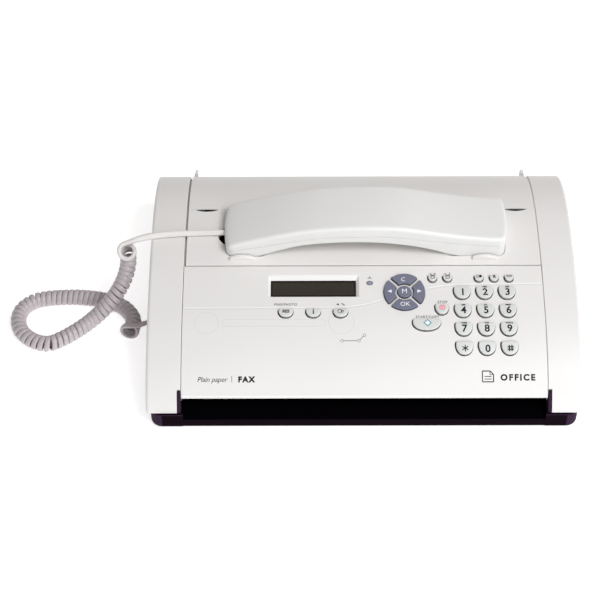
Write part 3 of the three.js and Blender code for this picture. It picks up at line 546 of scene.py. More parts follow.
def spline(points, spacing):
    """Evenly spaced points along a smooth curve through the given ones."""
    p = [Vector(q) for q in points]
    p = [2 * p[0] - p[1]] + p + [2 * p[-1] - p[-2]]
    dense = []
    for i in range(1, len(p) - 2):
        a, b, c, d = p[i - 1:i + 3]
        for t in steps(0, 1, 24)[:-1]:
            dense.append(0.5 * (2 * b + (c - a) * t + (2 * a - 5 * b + 4 * c - d) * t * t
                                + (3 * b - a - 3 * c + d) * t ** 3))
    dense.append(p[-2])
    lengths = [0]
    for a, b in zip(dense, dense[1:]):
        lengths.append(lengths[-1] + (b - a).length)
    result, k = [], 0
    for s in steps(0, lengths[-1], max(2, round(lengths[-1] / spacing))):
        while k < len(dense) - 2 and lengths[k + 1] < s:
            k += 1
        t = (s - lengths[k]) / max(lengths[k + 1] - lengths[k], 1e-9)
        result.append(dense[k].lerp(dense[k + 1], min(t, 1)))
    return result


def directions(line):
    last = len(line) - 1
    return [(line[min(i + 1, last)] - line[max(i - 1, 0)]).normalized() for i in range(last + 1)]


def near_end(i):
    """1 at the end of the coil, i points away from it, falling to 0 within a turn and a half."""
    return max(0, 1 - i / (1.5 * TURN_POINTS))


def coil_line(axis_points):
    """The coiled stretch: points of the wire's centreline and the coil's direction at each."""
    axis = spline(axis_points, COIL_PITCH / TURN_POINTS)
    along = directions(axis)
    side, sides = Vector((0, 1, 0)), []
    for t in along:
        side = (side - t * side.dot(t)).normalized()
        sides.append(side)
    # The last turn ends at the top of its ring, where the lead to the base leaves it.
    up = Vector((0, 0, 1))
    end_angle = math.atan2(up.dot(along[-1].cross(sides[-1])), up.dot(sides[-1]))
    turns = round((len(axis) - 1) / TURN_POINTS)
    total = end_angle - 2 * math.pi * turns
    line = []
    for i, (centre, t, side) in enumerate(zip(axis, along, sides)):
        angle = total * i / (len(axis) - 1)
        wider = WIDE_START * near_end(i) + WIDE_END * near_end(len(axis) - 1 - i)
        radius = COIL_OUTER - CORD_THICKNESS / 2 + wider
        line.append(centre + radius * (side * math.cos(angle) + t.cross(side) * math.sin(angle)))
    return line, along, turns


def cord_section(centre, along, wide, width, thickness):
    """One ring of the cord: a rounded band, its wide side held across the given direction."""
    wide = (wide - along * wide.dot(along)).normalized()
    thin = along.cross(wide)
    ring = []
    for a in steps(0, 2 * math.pi, CORD_SIDES)[:-1]:
        c, s = math.cos(a), math.sin(a)
        across = math.copysign(abs(c) ** CORD_SQUARENESS, c) * width / 2
        through_it = math.copysign(abs(s) ** CORD_SQUARENESS, s) * thickness / 2
        ring.append(centre + wide * across + thin * through_it)
    return ring


def make_cord():
    coil, coil_along, turns = coil_line(COIL)
    lead = spline([LEAD_ROOT] + LEAD + [coil[0] + FIRST_TURN_JOINT], LEAD_SPACING)[:-1]
    tail = spline([coil[-1]] + TAIL, LEAD_SPACING)[1:]
    upright = Vector((0, 0.6, 0.8))
    wide, widths = [], []
    # The lead stands on its edge and turns flat onto the coil.
    for i in range(len(lead)):
        t = i / len(lead)
        wide.append(upright.lerp(-coil_along[0], t ** 4).normalized())
        widths.append(LEAD_WIDTHS[0] + (LEAD_WIDTHS[1] - LEAD_WIDTHS[0]) * t)
    wide += [-w for w in coil_along]
    for i in range(len(tail)):
        wide.append((-coil_along[-1]).lerp(Vector((0, 1, 0)), min(1, i / len(tail))).normalized())
    centre = lead + coil + tail
    widths += [CORD_WIDTH + (LEAD_WIDTHS[1] - CORD_WIDTH) * near_end(i) for i in range(len(coil))]
    widths += [CORD_WIDTH] * len(tail)
    # 1 along the lead, fading along the first turn: there the cord is thicker and shows its own light
    # colour instead of the painted shade of the coil.
    lead_shares = [1] * len(lead) + [near_end(i) for i in range(len(coil))] + [0] * len(tail)
    rings = [cord_section(c, t, w, width, CORD_THICKNESS + THICKER_LEAD * share)
             for c, t, w, width, share in zip(centre, directions(centre), wide, widths, lead_shares)]
    cord = Solid().rings(rings).object("handset_cord")
    mark_faces(cord, "lead_unshaded_share", lambda face: lead_shares[min(face.vertices) // CORD_SIDES])
    cord.data.shade_smooth()
    cord.data.materials.append(CORD)
    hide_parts("handset_lead", "cord_coil", "base_lead")
    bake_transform(cord)


make_cord()


# ---------- covers
ARCH_TAIL = (117.6, 25)
INNER_EDGE, OUTER_EDGE = 0.6, 2.6  # rounding of a side cover's upper edges
# Ledges of a side cover, which close the gap beside the covers: x, y and depth under the surface.
GAP_LEDGES = {-1: (((138.3, 139.9), (-10.2, 99), (3.2, 5.2)), ((138.6, 139.9), (-104, -19.5), (2.9, 4.9))),
              1: (((138.1, 139.9), (-10.2, 99), (1.1, 4)), ((138.6, 139.9), (-104, -19.5), (1.6, 4.4)))}
HANDSET_X, HANDSET_Y = (-108.2, 113.1), (-2.5, 43.4)
HANDSET_BULGE, HANDSET_CORNER = 2.4, 4.5
JACK_Y, JACK_Z = (-28, -16), (4.8, 17.4)
JACK_OPENING = ((-28.3, -15.7), (4.5, 17.7))
# The rests of the handset in the cradle: wells, the cups of material around them, and two raised tabs.
WELL_FLOOR, WELL_CLEARANCE, WELL_GAP = 66, 1.4, 0.35
WELL_SPANS = ((HANDSET_X[0], -50), (52, HANDSET_X[1]))
CUP_SPANS = ((HANDSET_X[0] - 5.4, -40), (40, HANDSET_X[1] + 4.9))
TAB_SPANS, TAB_Y, TAB_TOP = ((-104.5, -84.2), (85.4, 105.7)), (-6.8, -3.1), 71.1
PLUNGER = ((84, 90), (17, 23))
# The hinge pin of the paper cover, (radius, x) ring by ring, and its two paper stops, outlines (x, z) with
# a rounding: a thin leaning blade on the left and a low block on the right.
LID_PIN = ((4, 131), (4.4, 131.4), (4.4, 133.5), (2, 133.5), (2, PIN_END))
PAPER_STOP_Y = (109, 113.4)
PAPER_STOPS = ((((-138, 38), (-135.4, 38), (-134.3, 44), (-133.6, 50.6), (-135.8, 51.2), (-137.5, 45.6),
                 (-138, 41)), 0.5),
               (((134.2, 38), (138, 38), (138, 47.4), (137.5, 50.2), (134.5, 50.6)), 0.7))


class Plan:
    """A plan with bulged ends and rounded corners, seen from above."""

    def __init__(self, x, y, corner=0.5, bulge=0.0, grow=0.0):
        self.x = (x[0] - grow, x[1] + grow)
        self.y = (y[0] - grow, y[1] + grow)
        self.corner, self.bulge = corner, bulge

    def stand_back(self, y):
        middle, half = (self.y[0] + self.y[1]) / 2, (self.y[1] - self.y[0]) / 2
        return self.bulge * ((y - middle) / half) ** 2

    def point(self, u, v):
        y = self.y[0] + (self.y[1] - self.y[0]) * v
        back = self.stand_back(y) + edge_drop(self.corner, min(y - self.y[0], self.y[1] - y))
        return self.x[0] + back + (self.x[1] - self.x[0] - 2 * back) * u, y

    def border(self, x, y):
        """Distance from the border, inwards."""
        dx = min(x - self.x[0], self.x[1] - x) - self.stand_back(y)
        dy = min(y - self.y[0], self.y[1] - y)
        c = self.corner
        return c - math.hypot(c - dx, c - dy) if dx < c and dy < c else min(dx, dy)


def beside(side, a, b):
    """A span of x on the right (side 1), or its mirror image on the left (side -1)."""
    return (a, b) if side > 0 else (-b, -a)


def under_arch(front, back, depth):
    """The section (y, z) of a hollow below the arch, given its distances from front, back and arch."""
    return band(front - HALF_DEPTH, HALF_DEPTH - back, lambda y: 0, below(depth), 24)


def skin(front, back, depth, count, edges):
    """The section (y, z) of a cover's skin, with rounded upper edges."""
    lower, ys = below(depth), steps(front, back, count)
    return rounded([(y, lower(y), 0) for y in ys] + [(back, arch(back), edges[1])]
                   + [(y, arch(y), 0) for y in ys[-2:0:-1]] + [(front, arch(front), edges[0])])


def side_cover(side):
    outline = ([(-HALF_DEPTH, COVER_BOTTOM - 3), (HALF_DEPTH, COVER_BOTTOM - 3), ARCH_TAIL]
               + [(y, arch(y)) for y in steps(ARCH[-1][0], -HALF_DEPTH, 48)])
    name = "right_side_cover" if side > 0 else "left_side_cover"
    radii = (INNER_EDGE, OUTER_EDGE) if side > 0 else (OUTER_EDGE, INNER_EDGE)
    cover = Solid().bar(outline, *beside(side, CHEEK_INNER, HALF_WIDTH + CHEEK_SPREAD), axis="x",
                        radii=radii, floor=COVER_BOTTOM).object(name)
    cut(cover, Solid().bar(under_arch(12, 8, WALL), *beside(side, PIN_END, HALF_WIDTH - WALL), axis="x"))
    # The inner wall is open towards the machine, and in front for the horns of the base.
    opening = Solid().bar(under_arch(21, 11, 10), *beside(side, CHEEK_INNER - 1, PIN_END + 1), axis="x")
    opening.box(beside(side, CHEEK_INNER - 1, PIN_END + 0.5), (-HALF_DEPTH - 2, -105.8), (10, 40))
    cut(cover, opening)
    holes = Solid()
    for (y, z), radius in ((PANEL_HINGE, 1.7), (LID_HINGE, 2.4)):
        holes.rod("x", (y, z), radius, *beside(side, CHEEK_INNER - 1.5, PIN_END + 2))
    if side < 0:
        holes.box((-HALF_WIDTH - 3, -HALF_WIDTH + 7), JACK_OPENING[0], (10, JACK_OPENING[1][1]))
    cut(cover, holes)
    ledges = Solid()
    for x, (front, back), (upper, lower) in GAP_LEDGES[side]:
        ledges.bar(band(front, back, below(lower), below(upper), 24), *beside(side, *x), axis="x")
    join(cover, ledges)
    piece(smooth(cover), "chassis", OFF_WHITE, name)


handset_plan = Plan(HANDSET_X, HANDSET_Y, HANDSET_CORNER, HANDSET_BULGE)
SEAM = 0.12  # seen gap between cradle and paper cover, each side of its middle
SEAM_LINE = (CRADLE_BACK + LID_FRONT) / 2
SLIT_X, SLIT_HALF, SLIT_DEPTH = 123.3, 10.0, 2.7


def handset_bottom(x):
    if x < HANDSET_BOTTOM[0][0] or x > HANDSET_BOTTOM[-1][0]:
        return WELL_FLOOR + 0.4
    return max(handset_grip(x), WELL_FLOOR + 0.4)


def well_seat(x):
    return max(handset_bottom(x) - WELL_CLEARANCE, WELL_FLOOR)


def paper_slits():
    """The two lens-shaped slits at the seam behind the handset."""
    tool = Solid()
    for side in (-1, 1):
        ts = steps(-1, 1, 12)
        lens = [(t, -0.1 - SLIT_DEPTH * (1 - t * t) ** 0.75) for t in ts]
        lens += [(t, 0.1 + 0.4 * (1 - t * t)) for t in reversed(ts)]
        tool.bar([(side * SLIT_X + SLIT_HALF * t, SEAM_LINE + y) for t, y in lens], 50, 80)
    return tool


def cradle_cover():
    back = SEAM_LINE - SEAM
    cover = Solid().bar(skin(CRADLE_FRONT, back, WALL, 28, (0.45, 0.35)), -LID_HALF, LID_HALF, "x",
                        (0.3, 0.3)).object("cradle_cover")
    # A rib behind the front edge, and a cup of material around each well.
    rib = (CRADLE_FRONT + 0.1, CRADLE_FRONT + 2)
    lower_parts = Solid().box((1 - LID_HALF, LID_HALF - 1), rib, (57, 65.6))
    for x in CUP_SPANS:
        cup = Plan(x, (HANDSET_Y[0] - 2.7, HANDSET_Y[1] + 2.7), 5, 1.5)
        lower_parts.cushion(cup, lambda x, y: arch(y) - 1.2,
                            lambda x, y: min(well_seat(x) - 2, arch(y) - 2), 0)
    join(cover, lower_parts)
    wells = Solid()
    for x in WELL_SPANS:
        well = Plan(x, HANDSET_Y, HANDSET_CORNER, HANDSET_BULGE, WELL_GAP)
        wells.cushion(well, lambda x, y: 95, lambda x, y: well_seat(x), 0, foot=0.8)
    cut(cover, wells)
    # The slits, the plunger's hole, a notch beside the cord, and room for the panel's rear edge to swing.
    holes = paper_slits()
    holes.box(*[(a - 0.5, b + 0.5) for a, b in PLUNGER], (50, 72))
    holes.bar([(HANDSET_X[0] + 1 - 6 * (1 - t * t), 17.6 + 9.4 * t) for t in steps(-1, 1, 12)], 55, 80)
    swing = math.hypot(PANEL_BACK - PANEL_HINGE[0], arch(PANEL_BACK) - 0.9 - PANEL_HINGE[1]) + 0.4
    holes.rod("x", PANEL_HINGE, swing, -CHEEK_INNER, CHEEK_INNER, sides=48)
    cut(cover, holes)
    tabs = Solid()
    for x0, x1 in TAB_SPANS:
        middle, half = (x0 + x1) / 2, (x1 - x0) / 2
        tabs.cushion(Plan((x0, x1), TAB_Y, 1.5), lambda x, y: TAB_TOP - 2.3 * ((x - middle) / half) ** 2,
                     lambda x, y: WELL_FLOOR, 1.3, cells=(16, 4))
    join(cover, tabs)
    piece(smooth(cover), "chassis", OFF_WHITE, "cradle_cover")


def hook_plunger():
    top = handset_bottom(PLUNGER[0][1]) - 0.3
    plunger = Solid().box(*PLUNGER, (50, top), 0.7).object("hook_plunger")
    piece(smooth(plunger), "hook_plunger", OFF_WHITE, "hook_plunger")


def paper_cover():
    front = SEAM_LINE + SEAM
    lower = below(WALL)
    section = ([(front, arch(front), 0.35)] + [(y, arch(y), 0) for y in steps(front, LID_BACK, 30)[1:]]
               + [(*LID_TAIL, 0.4), (LID_TAIL[0] - WALL, LID_TAIL[1], 0)]
               + [(y, lower(y), 0) for y in steps(LID_BACK - WALL, front, 30)])
    cover = Solid().bar(rounded(section), -LID_HALF, LID_HALF, "x", (0.3, 0.3)).object("paper_cover")
    # A rib behind the front edge, hollowed at the slits, and the hinge pins.
    added, undercut = Solid(), Solid()
    added.box((0.5 - LID_HALF, LID_HALF - 0.5), (front + 0.1, front + 2), (60, 68.6))
    for side in (-1, 1):
        added.turned("x", LID_HINGE, [(radius, side * x) for radius, x in LID_PIN])
        undercut.box((side * SLIT_X - 8.6, side * SLIT_X + 8.6), (front - 1, front + 6), (57, 69.2))
    join(cover, added)
    cut(cover, undercut)
    cut(cover, paper_slits())
    for outline, radius in PAPER_STOPS:
        stop = rounded([(x, z, radius) for x, z in outline])
        join(cover, Solid().bar(stop, *PAPER_STOP_Y, "y", (0.3, 0.3)))
    piece(smooth(cover), "paper_cover", OFF_WHITE, "paper_cover")


for side in (-1, 1):
    side_cover(side)
cradle_cover()
hook_plunger()
paper_cover()


# ---------- handset
CROWN, LEAN = 0.8, 1.1  # rise of the back of the handset along its middle line, and towards the rear
PARTING_GAP = 0.14  # each shell's distance from the parting line


def handset_back(x, y):
    """Height of the upper surface of the handset."""
    middle, half = (HANDSET_Y[0] + HANDSET_Y[1]) / 2, (HANDSET_Y[1] - HANDSET_Y[0]) / 2
    t = (y - middle) / half
    return handset_top(x) + 0.4 - CROWN * t * t + LEAN * t


def handset_shells():
    """The upper and the lower shell, with a fine gap at the parting line."""
    for name, top, base, radius, foot in (
            ("handset_top_shell", handset_back, lambda x, y: handset_parting(x) + PARTING_GAP, 2.4, 0.25),
            ("handset_bottom_shell", lambda x, y: handset_parting(x) - PARTING_GAP,
             lambda x, y: handset_bottom(x), 0.25, 1.2)):
        shell = Solid().cushion(handset_plan, top, base, radius, foot, cells=(64, 16)).object(name)
        piece(smooth(shell, angle=50), "handset", HANDSET_WHITE, name)


handset_shells()


# ---------- control panel
KEY_CLEARANCE, KEY_PROUD, KEY_ROOT = 0.5, 2.0, -5.0
WELL_SHIFT = (-0.3, -0.25)  # the keys sit towards the upper right of their wells
PANEL_PIN = ((1.7, 136.2), (2.0, 136.5), (2.0, 138.8), (1.3, 138.8), (1.3, PIN_END))  # (radius, x)
RIDGE_WIDTH, OUTLINE_HEIGHT = 0.8, 0.02
CUT_FLOOR, CUT_TOP = -14, 6  # how far the panel's cutters reach below and above its surface
NAV_X, NAV_Y, NAV_OUTER, NAV_INNER, NAV_SLOT = 31.9, -35.4, 15.9, 7.2, 1.2
NAV_CENTRE_SIZE, NAV_RING, NAV_CLEARANCE = (10.8, 10.4), 10.6, 0.25
BEZEL_X, BEZEL_Y, BEZEL_SIZE = -38.2, -29.4, (70.4, 19.8)
LCD_X, LCD_Y, LCD_SIZE, LCD_DEPTH = -38.4, -30.7, (65.6, 13.6), 1.9
LAMP_X, LAMP_Y, LAMP_SIZE = 5.2, -27, (4.2, 3.2)
# Every shield-shaped key: name, place (x, y) and size (width, height).
SHIELD_KEYS = {f"key_{name}": (76.5 + 17.3 * (i % 3), (-35.8, -51, -65.4, -79.6)[i // 3], 13.3, 11.2)
               for i, name in enumerate(["1", "2", "3", "4", "5", "6", "7", "8", "9", "star", "0", "hash"])}
SHIELD_KEYS |= {f"key_line_{n}": (x, -23.5, 7.1, 5.8) for n, x in zip("ab", (54.1, 65.7))}
SHIELD_KEYS |= {f"key_set_{n}": (x, -23.5, 7.1, 5.8) for n, x in zip("abc", (90.1, 101.8, 113.4))}
SHIELD_KEYS |= {f"key_soft_{n}": (x, -52.6, 11.5, 7.4) for n, x in zip("abc", (-59.6, -38.5, -17.5))}
SHIELD_KEYS |= {"key_stop": (60.4, -49.6, 10.6, 9.4), "key_start": (48.3, -62, 22, 10)}
NAV_ANGLES = {"right": 0, "up": 90, "left": 180, "down": 270}
# The raised line that crosses the panel: points (x, y), broken by the direction keys.
STEP_LINES = [[(-138.8, -47.8), (-60, -47.6), (-22, -47.4), (-8, -46.6), (4, -44.3), (14.6, -41.1)],
              [(49.4, -31.7), (56, -30.3), (66, -29), (80, -28.2), (110, -27.8), (138.8, -27.6)]]


def on_panel(x, y):
    """The frame of the covers' outer surface: X across, Y up the slope, Z outwards."""
    along = Vector((0, 1, arch_slope(y))).normalized()
    out = Vector((1, 0, 0)).cross(along)
    m = Matrix((Vector((1, 0, 0)), along, out)).transposed().to_4x4()
    m.translation = Vector((x, y, arch(y)))
    return m


def nav_quarter(angle, grow):
    outer, inner = NAV_OUTER + grow, NAV_INNER - grow
    middle = math.radians(angle)

    def arc(radius, turn):
        half = math.pi / 4 - (NAV_SLOT - grow) / radius
        return [(radius * math.cos(a), radius * math.sin(a))
                for a in steps(middle - half * turn, middle + half * turn, 14)]
    return rounded([(x, y, 0.9 if i in (0, 14) else 0) for i, (x, y) in enumerate(arc(outer, 1))]
                   + [(x, y, 0.9 if i in (0, 14) else 0) for i, (x, y) in enumerate(arc(inner, -1))], 3)


def window(tool, outline, place, flare=0.45):
    """A cutter for an opening whose upper edge is rounded."""
    outline = anticlockwise(outline)
    loops = [[(x, y, CUT_FLOOR) for x, y in outline]]
    for across, drop in quarter_round(flare, 3):
        loops.append([(x, y, -drop) for x, y in inset(outline, -across)])
    loops.append([(x, y, CUT_TOP) for x, y in inset(outline, -flare)])
    tool.rings(loops, place)


def sweep(solid, points, width, height, closed=False):
    """A low band with rounded shoulders along a line of points (x, y) on the panel."""
    last = len(points) - 1
    loops = []
    for i, (x, y) in enumerate(points):
        before = points[i - 1] if i or closed else points[0]
        after = points[(i + 1) % len(points)] if i < last or closed else points[last]
        along = (Vector(after) - Vector(before)).normalized()
        place = on_panel(x, y)
        loops.append([tuple(place @ Vector((-along.y * s * width / 2, along.x * s * width / 2, h)))
                      for s, h in ((1, -0.3), (-1, -0.3), (-1, height * 0.4), (-0.5, height),
                                   (0.5, height), (1, height * 0.4))])
    solid.rings(loops, closed=closed)


def smooth_line(points, spacing=2.0):
    return [(p.x, p.y) for p in spline([(x, y, 0) for x, y in points], spacing)]


def in_display_frame(face):
    """Whether a face slopes down from the panel to the display, on the frame that gets a painted highlight.
    """
    x, y = face.center.x / MM - BEZEL_X, face.center.y / MM - BEZEL_Y
    out = on_panel(BEZEL_X, BEZEL_Y).to_3x3().col[2]
    return (abs(x) <= BEZEL_SIZE[0] / 2 and abs(y) <= BEZEL_SIZE[1] / 2
            and 0.2 < face.normal.dot(out) < 0.96)


def panel_openings():
    """Cutters for the wells of the keys, the lamp and the sunk frame of the display."""
    tool = Solid()
    for x, y, width, height in SHIELD_KEYS.values():
        well = shield(width + 2 * KEY_CLEARANCE, height + 2 * KEY_CLEARANCE)
        window(tool, [(u + WELL_SHIFT[0], v + WELL_SHIFT[1]) for u, v in well], on_panel(x, y))
    centre = [size + 2 * NAV_CLEARANCE for size in NAV_CENTRE_SIZE]
    for outline in [nav_quarter(angle, NAV_CLEARANCE) for angle in NAV_ANGLES.values()] + [oval(*centre)]:
        window(tool, outline, on_panel(NAV_X, NAV_Y), 0.12)
    window(tool, oval(LAMP_SIZE[0] + 0.8, LAMP_SIZE[1] + 0.8), on_panel(LAMP_X, LAMP_Y), 0.2)
    w, h = BEZEL_SIZE
    offset = (LCD_Y - BEZEL_Y) * math.hypot(1, arch_slope(LCD_Y))
    gx, gy = LCD_SIZE[0] / 2 + 0.3, LCD_SIZE[1] / 2 + 0.3
    rim = rectangle(-w / 2, w / 2, -h / 2, h / 2, 1.0)
    sill = rectangle(LCD_X - BEZEL_X - gx, LCD_X - BEZEL_X + gx, offset - gy, offset + gy, 0.3)
    loops = ((sill, CUT_FLOOR), (sill, -LCD_DEPTH - 0.25), (rim, 0), (rim, CUT_TOP))
    return tool.rings([[(x, y, z) for x, y in loop] for loop, z in loops], on_panel(BEZEL_X, BEZEL_Y))


def panel_shell():
    front, back, drop = PANEL_FRONT, PANEL_BACK, 1.6
    lower = below(WALL)
    section = ([(y, lower(y), 0) for y in steps(back, front + 2.2, 40)]
               + [(front + 1.4, arch(front) - drop, 0), (front, arch(front) - drop, 0.3)]
               + [(front, arch(front), 0.8)]
               + [(y, arch(y), 0) for y in steps(front, back, 40)[1:-1]] + [(back, arch(back), 0.9)])
    shell = Solid().bar(rounded(section), -PANEL_HALF, PANEL_HALF, "x", (0.25, 0.25)).object("panel_shell")
    ears = Solid()
    for side in (-1, 1):
        ears.turned("x", PANEL_HINGE, [(radius, side * x) for radius, x in PANEL_PIN])
    join(shell, ears)
    cut(shell, panel_openings())
    smooth(shell)
    # Marks the display frame's sloping faces for their painted highlight.
    mark_faces(shell, "painted_frame_highlight", in_display_frame)
    piece(shell, "control_panel", OFF_WHITE, "panel_shell")


def panel_lines():
    """The raised line across the panel and the ridge at the front edge, both with a painted highlight, and
    a painted shade at the raised line's foot.
    """
    ridge, shade = Solid(), Solid()
    for points in STEP_LINES:
        line = smooth_line(points)
        sweep(ridge, line, RIDGE_WIDTH, 0.16)
        # A painted shade strip just below the raised line.
        sweep(shade, [(x, y - 1.2) for x, y in line], 0.5, OUTLINE_HEIGHT)
    sweep(ridge, [(x, PANEL_FRONT + 0.55) for x in steps(-138.4, 138.4, 12)], RIDGE_WIDTH, 0.06)
    piece(smooth(ridge.object("panel_line")), "control_panel", HIGHLIGHT_LINE_WHITE)
    piece(shade.object("panel_line_foot"), "control_panel", GHOST_INK_AND_SHADE)


def display():
    w, h = LCD_SIZE[0] / 2, LCD_SIZE[1] / 2
    place = on_panel(LCD_X, LCD_Y)
    slab = Solid().box((-w, w), (-h, h), (-3.0, -LCD_DEPTH), 0.25, place)
    piece(smooth(slab.object("lcd_window")), "control_panel", GLASS, "lcd_window", slot="lcd_glass")
    face = Solid().box((0.9 - w, w - 1.1), (0.7 - h, h - 1.4), (-2.3, -LCD_DEPTH + 0.03), 0, place)
    piece(face.object("lcd_face"), "control_panel", DISPLAY)
    lamp = Solid().cap(oval(*LAMP_SIZE), 0.35, -4.8, 0.5, on_panel(LAMP_X, LAMP_Y), crown=0.25)
    piece(smooth(lamp.object("status_lamp")), "control_panel", LENS_GREY, "status_lamp", slot="lamp_lens")


def make_key(name, outline, place, radius, material, slot, crown=0.15, centre=(0, 0)):
    cap = Solid().cap(outline, KEY_PROUD, KEY_ROOT, radius, place, crown, centre)
    piece(smooth(cap.object(name)), name, material, name, slot=slot)


def keys():
    for name, (x, y, width, height) in SHIELD_KEYS.items():
        radius = 0.9 if height > 7 else 0.6
        make_key(name, shield(width, height), on_panel(x, y), radius, KEY_GREY, "key_grey")
    place = on_panel(NAV_X, NAV_Y)
    for direction, angle in NAV_ANGLES.items():
        turn, quarter = math.radians(angle), nav_quarter(angle, 0)
        centre = (NAV_RING * math.cos(turn), NAV_RING * math.sin(turn))
        make_key(f"key_nav_{direction}", quarter, place, 0.5, NAV_BLUE, "nav_blue", 0.1, centre)
    make_key("key_nav_centre", oval(*NAV_CENTRE_SIZE), place, 0.7, NAV_BLUE, "nav_blue")


panel_shell()
panel_lines()
display()
keys()


# ---------- marks
PRINT, INK_HALF = 0.03, 0.01  # printed marks lie this far above the surface, and half their thickness
LAYER = 0.01  # a mark that crosses another lies this much higher
KEY_PRINT = KEY_PROUD + 0.16  # level of the marks on the keys, which are slightly crowned
CAP_HEIGHT = 0.73  # height of a capital in the built-in font, as a share of its size
KEY_LETTERS = dict(zip("23456789", ("ABC", "DEF", "GHI", "JKL", "MNO", "PQRS", "TUV", "WXYZ")))


class Print(Solid):
    """Printed marks, drawn in a plane a little above the panel at (x, y)."""

    def __init__(self, x=0.0, y=0.0, level=0.0):
        super().__init__()
        self.at(x, y, level)

    def at(self, x, y, level=0.0):
        self.place, self.level = on_panel(x, y), PRINT + level
        return self

    def letters(self, text, height, x=0.0, y=0.0, bold=0.0, slant=0.0, spacing=1.0):
        """A text whose capitals have the given height, centred on (x, y)."""
        curve = bpy.data.curves.new("letters", "FONT")
        curve.body, curve.size = text, height / CAP_HEIGHT
        curve.align_x, curve.align_y = "CENTER", "BOTTOM_BASELINE"
        curve.offset, curve.shear, curve.space_character = bold, slant, spacing
        curve.extrude, curve.resolution_u = INK_HALF, 3
        obj = bpy.data.objects.new("letters", curve)
        bpy.context.collection.objects.link(obj)
        data = evaluated_mesh(obj)
        lift = Vector((x, y - height / 2, self.level))
        faces = [tuple(p.vertices) for p in data.polygons]
        self.add([v.co + lift for v in data.vertices], faces, self.place)
        bpy.data.objects.remove(obj)
        bpy.data.curves.remove(curve)
        return self

    def patch(self, outline, lift=0.0):
        level = self.level + lift
        return self.bar(outline, level - INK_HALF, level + INK_HALF, place=self.place)

    def spot(self, width, height, x, y, count, lift=0.0):
        return self.patch([(u + x, v + y) for u, v in oval(width, height, count)], lift)

    def ring(self, radius, width, x=0.0, y=0.0, lift=0.0):
        inner, outer, level = radius - width / 2, radius + width / 2, self.level + lift
        loops = [[(x + r * math.cos(a), y + r * math.sin(a), level + h) for r, h in
                  ((inner, -INK_HALF), (outer, -INK_HALF), (outer, INK_HALF), (inner, INK_HALF))]
                 for a in steps(0, 2 * math.pi, 48)[:-1]]
        return self.rings(loops, self.place, closed=True)

    def stroke(self, a, b, width, lift=0.0):
        a, b = Vector(a), Vector(b)
        across = Vector((a.y - b.y, b.x - a.x)).normalized() * width / 2
        return self.patch([tuple(p) for p in (a - across, b - across, b + across, a + across)], lift)


def key_mark(mark, label):
    """Draws the sign of one key."""
    if label.isdigit():
        mark.letters(label, 5.9, 0.3, -0.6 if label == "0" else 0.1, bold=0.2)
    if label in KEY_LETTERS:
        mark.letters(KEY_LETTERS[label], 1.3, 0.2, 4.3, bold=0.07)
    elif label == "star":
        for angle, lift in ((90, LAYER), (30, LAYER), (-30, 0)):
            c, s = 2.6 * math.cos(math.radians(angle)), 2.6 * math.sin(math.radians(angle))
            mark.stroke((0.4 - c, -0.6 - s), (0.4 + c, -0.6 + s), 0.75, lift)
    elif label == "hash":
        for d in (-0.95, 0.95):
            mark.stroke((0.3 + d, -3.0), (0.3 + d, 1.8), 0.95)
            mark.stroke((-2.1, -0.6 + d), (2.7, -0.6 + d), 0.95, LAYER)
    elif label == "soft_a":
        mark.letters("RES", 2.5, 0, 0.9, bold=0.12)
    elif label == "soft_b":
        mark.stroke((0, -1.6), (0, 1.6), 0.95)
        mark.spot(1.1, 1.0, 0, 2.5, 12, LAYER)
    elif label == "soft_c":
        mark.ring(1.5, 0.45, -0.7, 0.7, LAYER)
        mark.ring(0.9, 0.45, 1.2, 0.7)
    elif label.startswith("line"):
        for a, b in (((-1.3, 1.3), (1.3, 1.3)), ((-1.3, -0.8), (1.3, -0.8)), ((-1.3, -0.8), (-1.3, 1.3)),
                     ((1.3, -0.8), (1.3, 1.3)), ((-1.7, 1.9), (1.7, 1.9))):
            mark.stroke(a, b, 0.42)
    elif label == "set_a":
        mark.ring(1.0, 0.3, -1.0, 0.8)
        mark.spot(2.3, 2.2, 1.0, 1.0, 20)
    elif label == "set_b":
        mark.letters("R", 2.6, 0.1, 0.8, bold=0.14)
    elif label == "set_c":
        for across in (-1.5, 0, 1.5):
            mark.ring(0.55, 0.32, across, 1.2)


def key_marks():
    for name, (x, y, *_) in SHIELD_KEYS.items():
        if name not in ("key_stop", "key_start"):
            mark = Print(x, y, KEY_PRINT)
            key_mark(mark, name.removeprefix("key_"))
            piece(mark.object(name + "_mark"), name, INK)


def start_and_stop_marks():
    x, y, *_ = SHIELD_KEYS["key_stop"]
    disc = Print(x, y, KEY_PRINT).spot(4.6, 4.4, 0.1, 0.7, 32)
    piece(disc.object("stop_disc"), "key_stop", RED_INK)
    sign = Print(x, y, KEY_PRINT).ring(1.35, 0.4, 0.1, 0.7, 0.03).stroke((-0.8, 0.7), (1.0, 0.7), 0.4, 0.05)
    piece(sign.object("stop_sign"), "key_stop", WHITE_INK)
    x, y, *_ = SHIELD_KEYS["key_start"]
    for name, width, height, material, lift in (("start_diamond", 3.3, 3.1, TEAL_INK, 0),
                                                ("start_middle", 2.1, 2.0, WHITE_INK, 0.03)):
        diamond = [(0.5 + u, 0.8 + v) for u, v in ((width, 0), (0, height), (-width, 0), (0, -height))]
        piece(Print(x, y, KEY_PRINT).patch(diamond, lift).object(name), "key_start", material)


